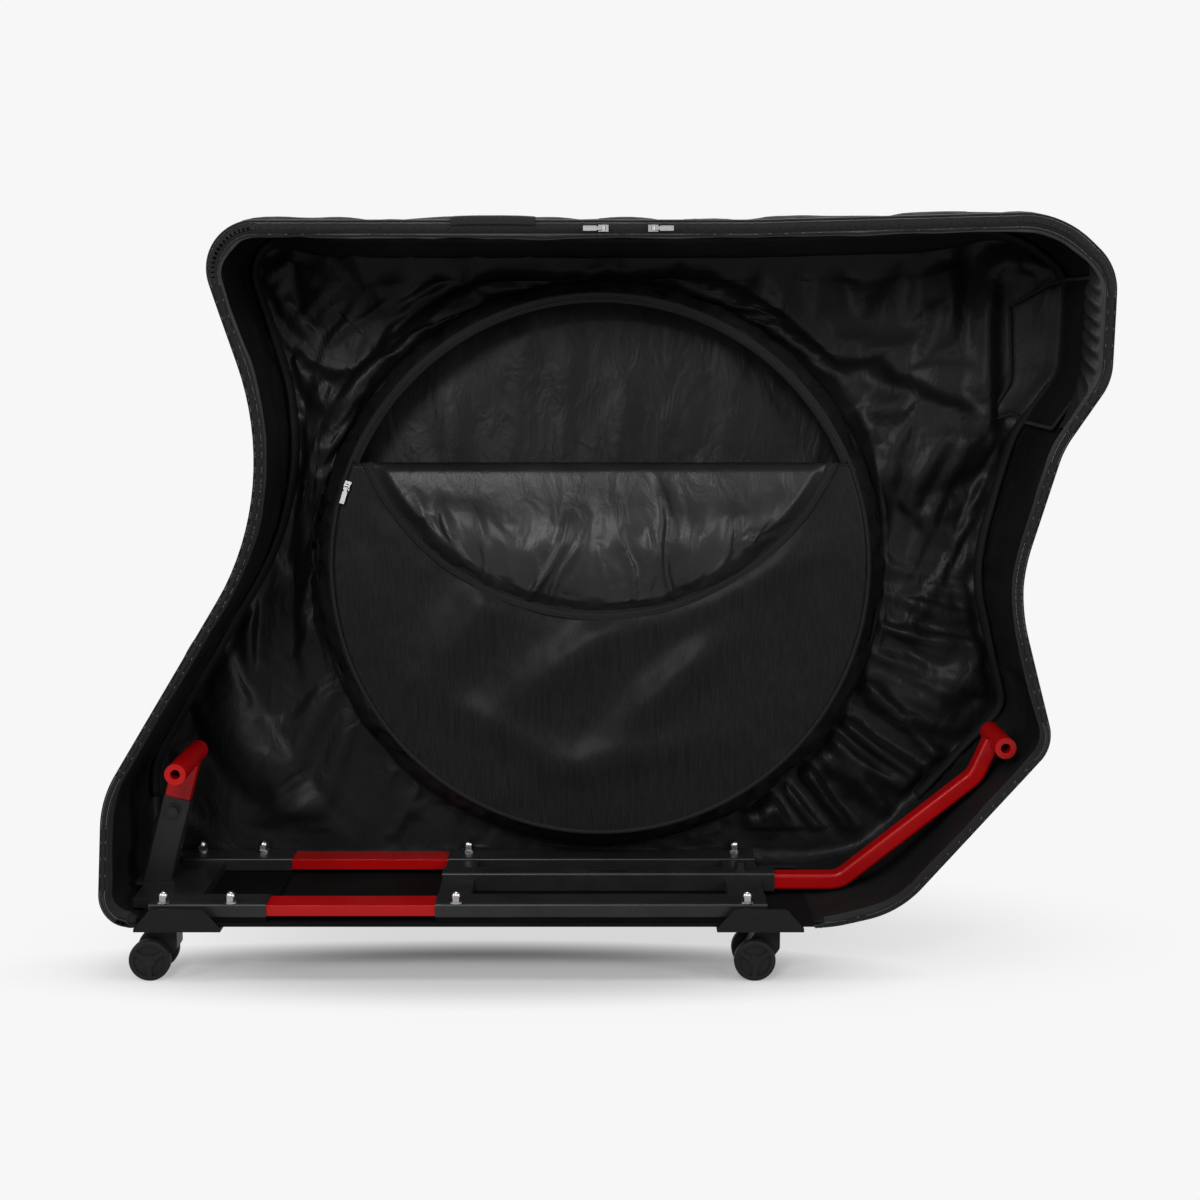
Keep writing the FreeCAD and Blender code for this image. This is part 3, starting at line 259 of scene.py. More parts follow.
def bag_rows(depth, columns, start, counts):
    """Rows of points over the wall of the bag, from the open edge over the far seam to the pocket."""
    points, inward = bag_outline(columns)
    size = sizes()
    top = between(TOP_REAR, TOP_FRONT, points[:, 0]) * smooth(*TOP_HEIGHT, points[:, 1])
    turn = size.seam_round + (size.top_round - size.seam_round) * top
    edge = points + inward * depth
    seam = edge + inward * turn[:, None]
    far = far_wall(seam[:, 0], seam[:, 1]) - depth
    near = open_edge(points[:, 1]) + start
    rows = []
    for t in np.linspace(0.0, 1.0, counts[0], endpoint=False):
        rows.append(row(edge, near + (far - turn - near) * t))
    for angle in np.linspace(0.0, math.pi / 2, counts[1], endpoint=False):
        bent = edge + inward * (turn * (1.0 - math.cos(angle)))[:, None]
        rows.append(row(bent, far - turn * (1.0 - math.sin(angle))))
    spoke = seam - POCKET[[0, 2]]
    angle = np.arctan2(spoke[:, 1] / POCKET_UP[2], spoke[:, 0])
    ring = np.column_stack([np.cos(angle), POCKET_UP[2] * np.sin(angle)]) * POCKET_BACK + POCKET[[0, 2]]
    for t in np.linspace(0.0, 1.0, counts[2]):
        flat = seam + (ring - seam) * t
        rows.append(row(flat, far_wall(flat[:, 0], flat[:, 1]) - depth))
    return np.array(rows)


def on_pocket(x, up, out):
    """Points in the pocket's own frame: along the case, up the wall, out to the open side."""
    x, up, out = (value[..., None] for value in np.broadcast_arrays(x, up, out))
    return POCKET + x * np.array((1.0, 0.0, 0.0)) + up * POCKET_UP + out * POCKET_OUT


def on_ring(radius, angle, out):
    """Points round the pocket's middle, in its own frame."""
    return on_pocket(radius * np.cos(angle), radius * np.sin(angle), out)


def disc_rows(radius, top_angle, columns, count, out):
    """Rows across a disc in the pocket's own frame, from its lowest point up to an angle."""
    across = np.linspace(-1.0, 1.0, columns + 1)
    rows = []
    for angle in np.linspace(0.0, top_angle, count):
        up, half = -radius * math.cos(angle), radius * math.sin(angle)
        rows.append(on_pocket(across * half, up, out))
    return rows


def grain(points, scale, seed):
    """Smooth noise at points."""
    shift = Vector((seed, 2.0 * seed, 3.0 * seed))
    flat = np.asarray(points).reshape(-1, 3)
    found = np.array([noise.noise(Vector(p) * scale + shift) for p in flat])
    return found.reshape(np.asarray(points).shape[:-1])


# Modelling steps

def deselect():
    bpy.ops.object.select_all(action="DESELECT")


def work_on(piece):
    """Make a piece the only one selected, and the active one."""
    deselect()
    piece.select_set(True)
    bpy.context.view_layer.objects.active = piece


def named(name):
    piece = bpy.context.object
    piece.name = name
    piece.data.name = name
    return piece


def edit_all(piece, *steps):
    """Run edit-mode steps on the whole mesh of a piece."""
    work_on(piece)
    bpy.ops.object.mode_set(mode="EDIT")
    bpy.ops.mesh.select_all(action="SELECT")
    for step in steps:
        step()
    bpy.ops.object.mode_set(mode="OBJECT")


def weld():
    bpy.ops.mesh.remove_doubles(threshold=0.00002)


def close_ends():
    bpy.ops.mesh.fill_holes(sides=0)


def turn_out():
    bpy.ops.mesh.normals_make_consistent(inside=False)


def read(piece, what="co"):
    found = np.zeros(len(piece.data.vertices) * 3)
    piece.data.vertices.foreach_get(what, found)
    return found.reshape(-1, 3)


def move_points(piece, points):
    piece.data.vertices.foreach_set("co", np.asarray(points, float).ravel())
    piece.data.update()


def normals_of(piece):
    return read(piece, "normal")


def puff_out(piece, height):
    """Push each point of a piece out along its normal."""
    move_points(piece, read(piece) + normals_of(piece) * height[:, None])


def lay_grid(name, rows, *steps):
    """Grid primitive laid over rows of points, with its edges welded where they meet."""
    rows = np.asarray(rows)
    deselect()
    bpy.ops.mesh.primitive_grid_add(x_subdivisions=rows.shape[1] - 1, y_subdivisions=rows.shape[0] - 1)
    piece = named(name)
    move_points(piece, rows)
    number = piece.data.attributes.new("row", "FLOAT", "POINT")
    number.data.foreach_set("value", np.repeat(np.arange(float(rows.shape[0])), rows.shape[1]))
    edit_all(piece, weld, *steps)
    return piece


def row_numbers(piece):
    """The row that each point was laid in."""
    found = np.zeros(len(piece.data.vertices))
    piece.data.attributes["row"].data.foreach_get("value", found)
    return np.round(found).astype(int)


def face_to(piece, centre, towards):
    """Turn an open sheet so that its faces look towards a point or away from it."""
    polygons = piece.data.polygons
    looks = sum((Vector(centre) - p.center).dot(p.normal) * p.area for p in polygons)
    if (looks > 0) != towards:
        edit_all(piece, bpy.ops.mesh.flip_normals)


def keep_modifier(piece, kind, **settings):
    """Add a modifier with its settings and apply it."""
    work_on(piece)
    bpy.ops.object.modifier_add(type=kind)
    modifier = piece.modifiers[-1]
    for key, value in settings.items():
        setattr(modifier, key, value)
    bpy.ops.object.modifier_apply(modifier=modifier.name)


def thicken(piece, thick, offset):
    keep_modifier(piece, "SOLIDIFY", thickness=thick, offset=offset, use_even_offset=False)


def refine(piece):
    keep_modifier(piece, "SUBSURF", levels=1, render_levels=1)


def smooth_faces(piece):
    work_on(piece)
    bpy.ops.object.shade_smooth()


def copies(name, pattern, places, ahead, side):
    """One small shape set at many places, each turned to its own directions."""
    corners = read(pattern)
    faces = [tuple(p.vertices) for p in pattern.data.polygons]
    bpy.data.objects.remove(pattern)
    ahead = ahead / np.linalg.norm(ahead, axis=1)[:, None]
    up = np.cross(ahead, side)
    up /= np.linalg.norm(up, axis=1)[:, None]
    side = np.cross(up, ahead)
    set_out = (places[:, None] + corners[None, :, :1] * ahead[:, None]
               + corners[None, :, 1:2] * side[:, None] + corners[None, :, 2:] * up[:, None])
    count = len(corners)
    all_faces = [tuple(i * count + v for v in face) for i in range(len(places)) for face in faces]
    mesh = bpy.data.meshes.new(name)
    mesh.from_pydata(set_out.reshape(-1, 3).tolist(), [], all_faces)
    piece = bpy.data.objects.new(name, mesh)
    bpy.context.scene.collection.objects.link(piece)
    edit_all(piece, turn_out)
    return piece


def small_block(size, bevel):
    """Cube of a size with its edges bevelled, as a pattern to copy."""
    deselect()
    bpy.ops.mesh.primitive_cube_add(size=1.0)
    piece = named("pattern")
    move_points(piece, read(piece) * np.array(size))
    if bevel:
        edit_all(piece, lambda: bpy.ops.mesh.bevel(offset=bevel, segments=1, affect="EDGES"))
    return piece


def settle(piece, pins, slack, bend, frames, push=0.0, gravity=0.0):
    """Let a sewn-down sheet buckle under its spare cloth, pushed to the side that it faces."""
    group = piece.vertex_groups.new(name="sewn")
    for weight in np.unique(np.round(pins, 1)):
        held = np.nonzero(np.round(pins, 1) == weight)[0]
        group.add(held.tolist(), float(weight), "REPLACE")
    work_on(piece)
    bpy.ops.object.modifier_add(type="CLOTH")
    cloth = piece.modifiers[-1]
    setting = cloth.settings
    setting.quality = 5
    setting.mass = 0.2
    setting.tension_stiffness = setting.compression_stiffness = 18.0
    setting.shear_stiffness = 8.0
    setting.bending_stiffness = bend
    setting.vertex_group_mass = "sewn"
    setting.pin_stiffness = 1.0
    setting.shrink_min = -slack
    setting.effector_weights.gravity = gravity
    setting.use_pressure = push > 0.0
    setting.uniform_pressure_force = push
    cloth.collision_settings.use_collision = False
    cloth.point_cache.frame_start = 1
    cloth.point_cache.frame_end = frames
    scene = bpy.context.scene
    for number in range(1, frames + 1):
        scene.frame_set(number)
    bpy.ops.object.modifier_apply(modifier=cloth.name)
    scene.frame_set(1)
    piece.vertex_groups.clear()


def start_off(piece, rest, out, height, pins):
    """Lift a sheet off its rest where it isn't sewn down, for its folds to start from."""
    move_points(piece, rest + out * (height * (pins < 0.5))[:, None])


def keep_within(piece, rest, moved, out, room, back=0.0012, sideways=0.006):
    """Keep a settled sheet within the room that it has in front of and behind its rest."""
    along = (moved * out).sum(axis=1)
    across = moved - along[:, None] * out
    room = np.maximum(room, LEAST)
    along = np.where(along > 0, room * np.tanh(along / room), back * np.tanh(along / back))
    reach = np.linalg.norm(across, axis=1)
    limit = np.minimum(sideways, 2.0 * room)
    across *= (np.minimum(reach, limit) / np.maximum(reach, 1e-9))[:, None]
    move_points(piece, rest + along[:, None] * out + across)


def delete_faces(piece, unwanted):
    """Delete the faces that a test of their middle picks."""
    work_on(piece)
    bpy.ops.object.mode_set(mode="EDIT")
    bpy.ops.mesh.select_mode(type="FACE")
    bpy.ops.mesh.select_all(action="DESELECT")
    bpy.ops.object.mode_set(mode="OBJECT")
    for polygon in piece.data.polygons:
        polygon.select = unwanted(*polygon.center)
    bpy.ops.object.mode_set(mode="EDIT")
    bpy.ops.mesh.delete(type="FACE")
    bpy.ops.mesh.select_mode(type="VERT")
    bpy.ops.object.mode_set(mode="OBJECT")


def over_bottom(x, y, z):
    """Whether a place is where the flat bottom of the bag is."""
    lift, inset = 0.006, 0.004
    low, before = z < UNDERSIDE + lift, y < MID_Y + BASE_HALF - inset
    return low and before and BOTTOM_X[0] < x < BOTTOM_X[1]


def dress(piece, material, body="case"):
    """Give a piece its finish and the body that it rides on."""
    piece.data.materials.clear()
    piece.data.materials.append(material)
    number = piece.data.attributes.get("row")
    if number:
        piece.data.attributes.remove(number)
    smooth_faces(piece)
    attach(piece, body)


def cord(name, path, radius, across, closed, body="case", sides=8):
    """Cord in seam tape along a path; across is a direction that the path never takes."""
    path = np.asarray(path)
    ahead = np.gradient(path, axis=0)
    if closed:
        ahead[0] = ahead[-1] = path[1] - path[-2]
    side = np.cross(ahead, np.broadcast_to(across, path.shape))
    side /= np.linalg.norm(side, axis=1)[:, None]
    up = np.cross(side, ahead)
    up /= np.linalg.norm(up, axis=1)[:, None]
    rows = []
    for angle in np.linspace(0.0, 2.0 * math.pi, sides + 1):
        rows.append(path + radius * (math.cos(angle) * side + math.sin(angle) * up))
    steps = (turn_out,) if closed else (close_ends, turn_out)
    dress(lay_grid(name, rows, *steps), finish("tape"), body)


# Finishes

class Tree:
    """Short hand for the nodes of one tree."""

    def __init__(self, tree):
        self.tree = tree

    def add(self, kind, inputs=(), **settings):
        """New node with the values of its inputs and its settings."""
        node = self.tree.nodes.new(kind)
        for key, value in settings.items():
            setattr(node, key, value)
        for key, value in dict(inputs).items():
            node.inputs[key].default_value = value
        return node

    def link(self, source, target):
        self.tree.links.new(source, target)

    def math(self, operation, first, second):
        node = self.add("ShaderNodeMath", operation=operation)
        for socket, value in zip(node.inputs, (first, second)):
            if isinstance(value, (int, float)):
                socket.default_value = value
            else:
                self.link(value, socket)
        return node.outputs["Value"]

    def spread(self, factor, low, high):
        node = self.add("ShaderNodeMapRange", {"To Min": low, "To Max": high})
        self.link(factor, node.inputs["Value"])
        return node.outputs["Result"]


class Nodes(Tree):
    """Short hand for the nodes of one material."""

    def __init__(self, name, colour, roughness, **more):
        self.material = bpy.data.materials.new(name)
        self.material.use_nodes = True
        super().__init__(self.material.node_tree)
        self.shader = self.tree.nodes["Principled BSDF"]
        self.shader.inputs["Base Color"].default_value = (*colour, 1.0)
        self.shader.inputs["Roughness"].default_value = roughness
        for key, value in more.items():
            self.shader.inputs[key.replace("_", " ")].default_value = value

    def place(self, scale=(1.0, 1.0, 1.0), turn=(0.0, 0.0, 0.0), shift=(0.0, 0.0, 0.0)):
        coordinate = self.add("ShaderNodeTexCoord")
        mapping = self.add("ShaderNodeMapping", {"Scale": scale, "Rotation": turn, "Location": shift})
        self.link(coordinate.outputs["Object"], mapping.inputs["Vector"])
        return mapping.outputs["Vector"]

    def noise(self, vector, scale, detail=3.0, rough=0.55, distortion=0.0):
        node = self.add("ShaderNodeTexNoise", {"Scale": scale, "Detail": detail, "Roughness": rough,
                                               "Distortion": distortion})
        self.link(vector, node.inputs["Vector"])
        return node.outputs["Fac"]

    def threads(self, vector, pitch, direction):
        scale = 2.0 * math.pi / (20.0 * pitch)
        node = self.add("ShaderNodeTexWave", {"Scale": scale}, wave_type="BANDS",
                        bands_direction=direction)
        self.link(vector, node.inputs["Vector"])
        return node.outputs["Fac"]

    def tint(self, factor, dark, light):
        node = self.add("ShaderNodeValToRGB")
        for stop, at, colour in zip(node.color_ramp.elements, (0.25, 0.75), (dark, light)):
            stop.position = at
            stop.color = (*colour, 1.0)
        self.link(factor, node.inputs["Fac"])
        self.link(node.outputs["Color"], self.shader.inputs["Base Color"])

    def rough(self, factor, low, high):
        self.link(self.spread(factor, low, high), self.shader.inputs["Roughness"])

    def bump(self, height, strength, distance):
        node = self.add("ShaderNodeBump", {"Strength": strength, "Distance": distance})
        before = self.shader.inputs["Normal"]
        if before.is_linked:
            self.link(before.links[0].from_socket, node.inputs["Normal"])
        self.link(height, node.inputs["Height"])
        self.link(node.outputs["Normal"], before)


def shade(colour, factor):
    return tuple(min(1.0, c * factor) for c in colour)


def satin(name, colour, gloss=0.075, rough=(0.29, 0.44)):
    """Black satin: soft patches of sheen, fine creases and fibres."""
    nodes = Nodes(name, colour, rough[0], Specular_IOR_Level=gloss)
    place = nodes.place()
    patches = nodes.noise(place, scale=9.0, detail=2.0)
    nodes.tint(patches, shade(colour, 0.7), shade(colour, 1.4))
    nodes.rough(nodes.noise(place, scale=16.0), *rough)
    slanted = nodes.place(scale=(1.0, 1.0, 0.5), turn=(0.0, 0.6, 0.0))
    folds = nodes.noise(slanted, scale=30.0, detail=4.0, rough=0.5, distortion=0.6)
    nodes.bump(folds, strength=0.50, distance=0.005)
    fibres = nodes.noise(nodes.place(scale=(1.0, 1.0, 0.06)), scale=480.0, detail=2.0, rough=0.6)
    nodes.bump(fibres, strength=0.14, distance=0.0005)
    warp, weft = (nodes.threads(place, pitch=0.0012, direction=way) for way in "XZ")
    nodes.bump(nodes.math("MULTIPLY", warp, weft), strength=0.08, distance=0.0004)
    return nodes.material


def cloth_finish(name, colour, pitch, rough=(0.62, 0.82), painted_shade_heights=None):
    """Woven cloth: threads both ways, a little uneven in colour, with painted shade that darkens it below
    the given heights.
    """
    nodes = Nodes(name, colour, rough[0], Specular_IOR_Level=0.07, Sheen_Weight=0.03, Sheen_Roughness=0.5)
    place = nodes.place()
    split = nodes.add("ShaderNodeSeparateXYZ")
    nodes.link(place, split.inputs["Vector"])
    join = nodes.add("ShaderNodeCombineXYZ")
    nodes.link(nodes.math("ADD", split.outputs["X"], split.outputs["Y"]), join.inputs["X"])
    nodes.link(nodes.math("ADD", split.outputs["Z"], split.outputs["Y"]), join.inputs["Y"])
    warp, weft = (nodes.threads(join.outputs["Vector"], pitch, direction=way) for way in "XY")
    weave = nodes.math("MAXIMUM", warp, weft)
    uneven = nodes.noise(place, scale=14.0, detail=4.0)
    of_weave, of_uneven = 0.45, 0.55
    both = nodes.math("ADD", nodes.math("MULTIPLY", weave, of_weave),
                      nodes.math("MULTIPLY", uneven, of_uneven))
    # Painted shade: below the given heights the colour fades towards a fifth of itself, darker towards the
    # bottom as if only the top were lit.
    if painted_shade_heights:
        height = nodes.math("SUBTRACT", split.outputs["Z"], painted_shade_heights[0])
        height = nodes.math("DIVIDE", height, painted_shade_heights[1] - painted_shade_heights[0])
        both = nodes.math("MULTIPLY", both, nodes.math("MINIMUM", nodes.math("MAXIMUM", height, 0.0), 1.0))
    nodes.tint(both, shade(colour, 0.2 if painted_shade_heights else 0.6), shade(colour, 1.5))
    nodes.rough(uneven, *rough)
    nodes.bump(nodes.noise(place, scale=22.0), strength=0.22, distance=0.004)
    nodes.bump(weave, strength=0.35, distance=0.0006)
    return nodes.material


def slub_finish(name, colour):
    """Fine cloth with uneven upright threads."""
    nodes = Nodes(name, colour, 0.5, Specular_IOR_Level=0.055, Sheen_Weight=0.01, Sheen_Roughness=0.45)
    place = nodes.place()
    slubs = nodes.noise(nodes.place(scale=(1.0, 1.0, 0.03)), scale=420.0, rough=0.6)
    nodes.tint(slubs, shade(colour, 0.55), shade(colour, 1.7))
    nodes.rough(nodes.noise(place, scale=8.0, detail=2.0), low=0.30, high=0.44)
    nodes.bump(slubs, strength=0.25, distance=0.0006)
    slanted = nodes.place(scale=(1.0, 1.0, 0.6), turn=(0.0, -0.5, 0.0))
    nodes.bump(nodes.noise(slanted, scale=12.0, detail=2.0), strength=0.8, distance=0.006)
    return nodes.material


def powder_coat(name, colour):
    """Powder coat with fine orange peel and rubbed patches."""
    nodes = Nodes(name, colour, 0.4, Specular_IOR_Level=0.21)
    place = nodes.place()
    rubbed = nodes.noise(place, scale=18.0, detail=5.0, rough=0.65)
    nodes.tint(rubbed, shade(colour, 0.8), shade(colour, 1.6))
    nodes.rough(rubbed, low=0.26, high=0.42)
    nodes.bump(nodes.noise(place, scale=900.0, detail=2.0), strength=0.14, distance=0.0004)
    return nodes.material


def gloss_paint(name, colour):
    """Gloss paint with slight waviness."""
    nodes = Nodes(name, colour, 0.3, Specular_IOR_Level=0.14, Coat_Weight=0.08, Coat_Roughness=0.12)
    place = nodes.place()
    clouds = nodes.noise(place, scale=12.0)
    nodes.tint(clouds, shade(colour, 0.86), shade(colour, 1.08))
    nodes.rough(nodes.noise(place, scale=40.0, detail=4.0), low=0.26, high=0.40)
    nodes.bump(nodes.noise(place, scale=500.0, detail=2.0), strength=0.06, distance=0.0004)
    return nodes.material


def moulded(name, colour, rough=(0.48, 0.64), grain_size=700.0, gloss=0.10):
    """Moulded plastic or rubber with a fine spark-eroded grain."""
    nodes = Nodes(name, colour, rough[0], Specular_IOR_Level=gloss)
    place = nodes.place()
    scuffs = nodes.noise(place, scale=30.0, detail=5.0, rough=0.7)
    nodes.tint(scuffs, shade(colour, 0.8), shade(colour, 1.3))
    nodes.rough(scuffs, *rough)
    nodes.bump(nodes.noise(place, scale=grain_size, detail=2.0), strength=0.18, distance=0.0004)
    return nodes.material


def plated(name, colour, rough=(0.16, 0.32)):
    """Bright plating with fine brush marks."""
    nodes = Nodes(name, colour, rough[0], Metallic=1.0)
    marks = nodes.noise(nodes.place(scale=(1.0, 1.0, 6.0)), scale=260.0, detail=4.0, rough=0.6)
    nodes.tint(marks, shade(colour, 0.82), shade(colour, 1.1))
    nodes.rough(marks, *rough)
    nodes.bump(marks, strength=0.05, distance=0.0003)
    return nodes.material


FINISHES = {}


def finish(name):
    """Finish by its name, made when first asked for."""
    colour = colours()
    makers = {
        "lining": lambda: satin("lining satin", colour.lining),
        "wall lining": lambda: satin("wall lining satin", shade(colour.lining, 1.2),
                                     gloss=0.045, rough=(0.5, 0.65)),
        "flap": lambda: satin("flap satin", shade(colour.lining, 2.2), gloss=0.16, rough=(0.28, 0.42)),
        "gather": lambda: satin("gathered satin", shade(colour.lining, 1.6),
                                gloss=0.10, rough=(0.27, 0.40)),
        "shell": lambda: cloth_finish("shell cloth", colour.shell, pitch=0.0021),
        # The rim's cloth has painted shade, darker below 0.30 m and paler towards its top.
        "rim": lambda: cloth_finish("rim cloth with painted shade", colour.rim, pitch=0.0026, painted_shade_heights=(0.30, 0.88)),
        "binding": lambda: satin("binding satin", shade(colour.lining, 1.2),
                                 gloss=0.04, rough=(0.5, 0.64)),
        "tape": lambda: cloth_finish("seam tape", shade(colour.shell, 0.8), pitch=0.0016, rough=(0.5, 0.7)),
        # Painted shade: the bag's bottom is a darker, duller copy of the lining satin.
        "bottom": lambda: satin("bottom lining with painted shade", shade(colour.lining, 0.6), gloss=0.03, rough=(0.6, 0.75)),
        "pocket": lambda: slub_finish("pocket cloth", colour.pocket),
        "thread": lambda: cloth_finish("sewing thread", shade(colour.rim, 1.3),
                                       pitch=0.0010, rough=(0.5, 0.6)),
        "teeth": lambda: moulded("zip teeth", shade(colour.plastic, 0.8),
                                 rough=(0.3, 0.42), grain_size=300.0),
        "red": lambda: gloss_paint("red paint", colour.red),
        "black": lambda: powder_coat("black powder coat", colour.frame_black),
        # Painted shade: the base boards are darker than the frame's black, as if in shade.
        "board": lambda: moulded("base board with painted shade", shade(colour.frame_black, 0.30),
                                 rough=(0.6, 0.75), grain_size=220.0, gloss=0.03),
        "bracket": lambda: moulded("bracket plastic", shade(colour.plastic, 0.6)),
        "caster": lambda: moulded("caster plastic", shade(colour.plastic, 0.7), rough=(0.34, 0.5)),
        "tyre": lambda: moulded("wheel rubber", shade(colour.plastic, 0.9),
                                rough=(0.5, 0.68), grain_size=500.0),
        "steel": lambda: plated("bolt plating", shade(colour.steel, 0.6)),
        "dark steel": lambda: plated("dark steel", shade(colour.steel, 0.35), rough=(0.25, 0.4)),
        "zip": lambda: plated("zip metal", shade(colour.steel, 0.5), rough=(0.26, 0.40)),
    }
    if name not in FINISHES:
        FINISHES[name] = makers[name]()
    return FINISHES[name]


NODE_FINISHES = (
    ("slide_tube", "red"), ("fork_arm", "red"), ("rear_head", "red"),
    ("rail_bolts", "steel"), ("arm_clamp_bolt", "black"), ("post_clamp_bolt", "black"),
    ("rail", "black"), ("links", "black"), ("centre_beam", "black"), ("rear_cross", "black"),
    ("rear_post", "black"), ("board", "board"), ("bracket", "bracket"),
    ("caster_pins", "dark steel"), ("caster_axle", "dark steel"), ("caster_body", "caster"),
    ("wheel", "tyre"), ("zip_slider", "zip"), ("zip_pull", "zip"),
)
SOFT_NODES = (
    "far_side_panel", "top_panel", "rear_end_panel", "front_end_panel", "bottom_panel", "rim_band",
    "zip_chain", "top_handle", "front_guard_pad", "pocket_wall", "pocket_front", "pocket_flap",
)


class CASE_OT_frame(bpy.types.Operator):
    """Give the frame, bolts, zips and casters their finishes"""

    bl_idname = "case.frame"
    bl_label = "Frame finishes"

    def execute(self, context):
        for name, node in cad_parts.items():
            if name in SOFT_NODES:
                continue
            kind = next(made for part, made in NODE_FINISHES if part in name)
            node.data.materials.clear()
            node.data.materials.append(finish(kind))
        return {"FINISHED"}


class CASE_OT_shell(bpy.types.Operator):
    """Make the outer cloth of the bag with its bottom and its piping"""

    bl_idname = "case.shell"
    bl_label = "Bag shell"

    def execute(self, context):
        self.shell()
        self.bottom()
        self.piping()
        return {"FINISHED"}

    def shell(self):
        size = sizes()
        counts, behind_pocket, sewn_below = (20, 7, 14), 12, 0.10
        rows = bag_rows(depth=0.0, columns=300, start=0.020, counts=counts)
        ring = rows[-1][:, [0, 2]]
        for t in np.linspace(0.0, 1.0, behind_pocket)[1:]:
            flat = ring + (POCKET[[0, 2]] - ring) * t
            rows = np.concatenate([rows, row(flat, far_wall(flat[:, 0], flat[:, 1]))[None]])
        piece = lay_grid("bag_shell", rows)
        face_to(piece, IN_BAG, False)
        rest, out, order = read(piece), normals_of(piece), row_numbers(piece)
        free = smooth(0.09, 0.16, rest[:, 2])
        broad, fine = grain(rest, scale=6.0, seed=4.0), grain(rest, scale=19.0, seed=9.0)
        pins = np.where((order == 0) | (rest[:, 2] < sewn_below), 1.0, 0.0)
        pins[(order == counts[0] + SEAM_ROW) & (pins < 0.5)] = SEAM_HOLD
        start_off(piece, rest, out, (0.0030 * broad + 0.0016 * fine) * free, pins)
        settle(piece, pins, size.shell_slack, bend=4.0, frames=size.settle_frames, push=0.5)
        keep_within(piece, rest, read(piece) - rest, out, room=0.0003 + 0.0065 * free,
                    back=0.0009, sideways=0.004)
        delete_faces(piece, over_bottom)
        thicken(piece, size.cloth, -1.0)
        dress(piece, finish("shell"))
        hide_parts("far_side_panel", "top_panel", "rear_end_panel", "front_end_panel")

    def bottom(self):
        """Flat bottom with the slots that the bracket bolts move in."""
        slot, rear, travel, front, bolt_y = 0.0043, -0.5318, 0.080, 0.1702, 0.118
        lap, inset, lift, thick = 0.006, 0.0006, 0.0002, 0.0044
        far = BASE_HALF - inset
        x = (BOTTOM_X[0] - lap, rear - slot, rear + travel + slot,
             front - slot, front + slot, BOTTOM_X[1] + lap)
        y = (-far, -bolt_y - slot, -bolt_y + slot, bolt_y - slot, bolt_y + slot, far)
        rows = [[(a, MID_Y + b, UNDERSIDE + lift) for a in x] for b in y]
        piece = lay_grid("bag_bottom", rows)

        def in_slot(a, b, _):
            beside = abs(abs(b - MID_Y) - bolt_y) < slot
            return beside and (rear - slot < a < rear + travel + slot or abs(a - front) < slot)

        delete_faces(piece, in_slot)
        thicken(piece, thick, 1.0)
        keep_modifier(piece, "BEVEL", width=0.0006, segments=2, limit_method="ANGLE")
        # The bottom's darker satin is painted shade.
        dress(piece, finish("bottom"))
        bpy.ops.object.shade_smooth_by_angle(angle=0.6)
        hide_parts("bottom_panel")

    def piping(self):
        """Piping round the far seam."""
        counts = (4, 7, 2)
        rows = bag_rows(depth=-0.0012, columns=360, start=0.0, counts=counts)
        cord("far_piping", rows[counts[0] + SEAM_ROW], sizes().piping,
             across=(0.0, 1.0, 0.0), closed=True)


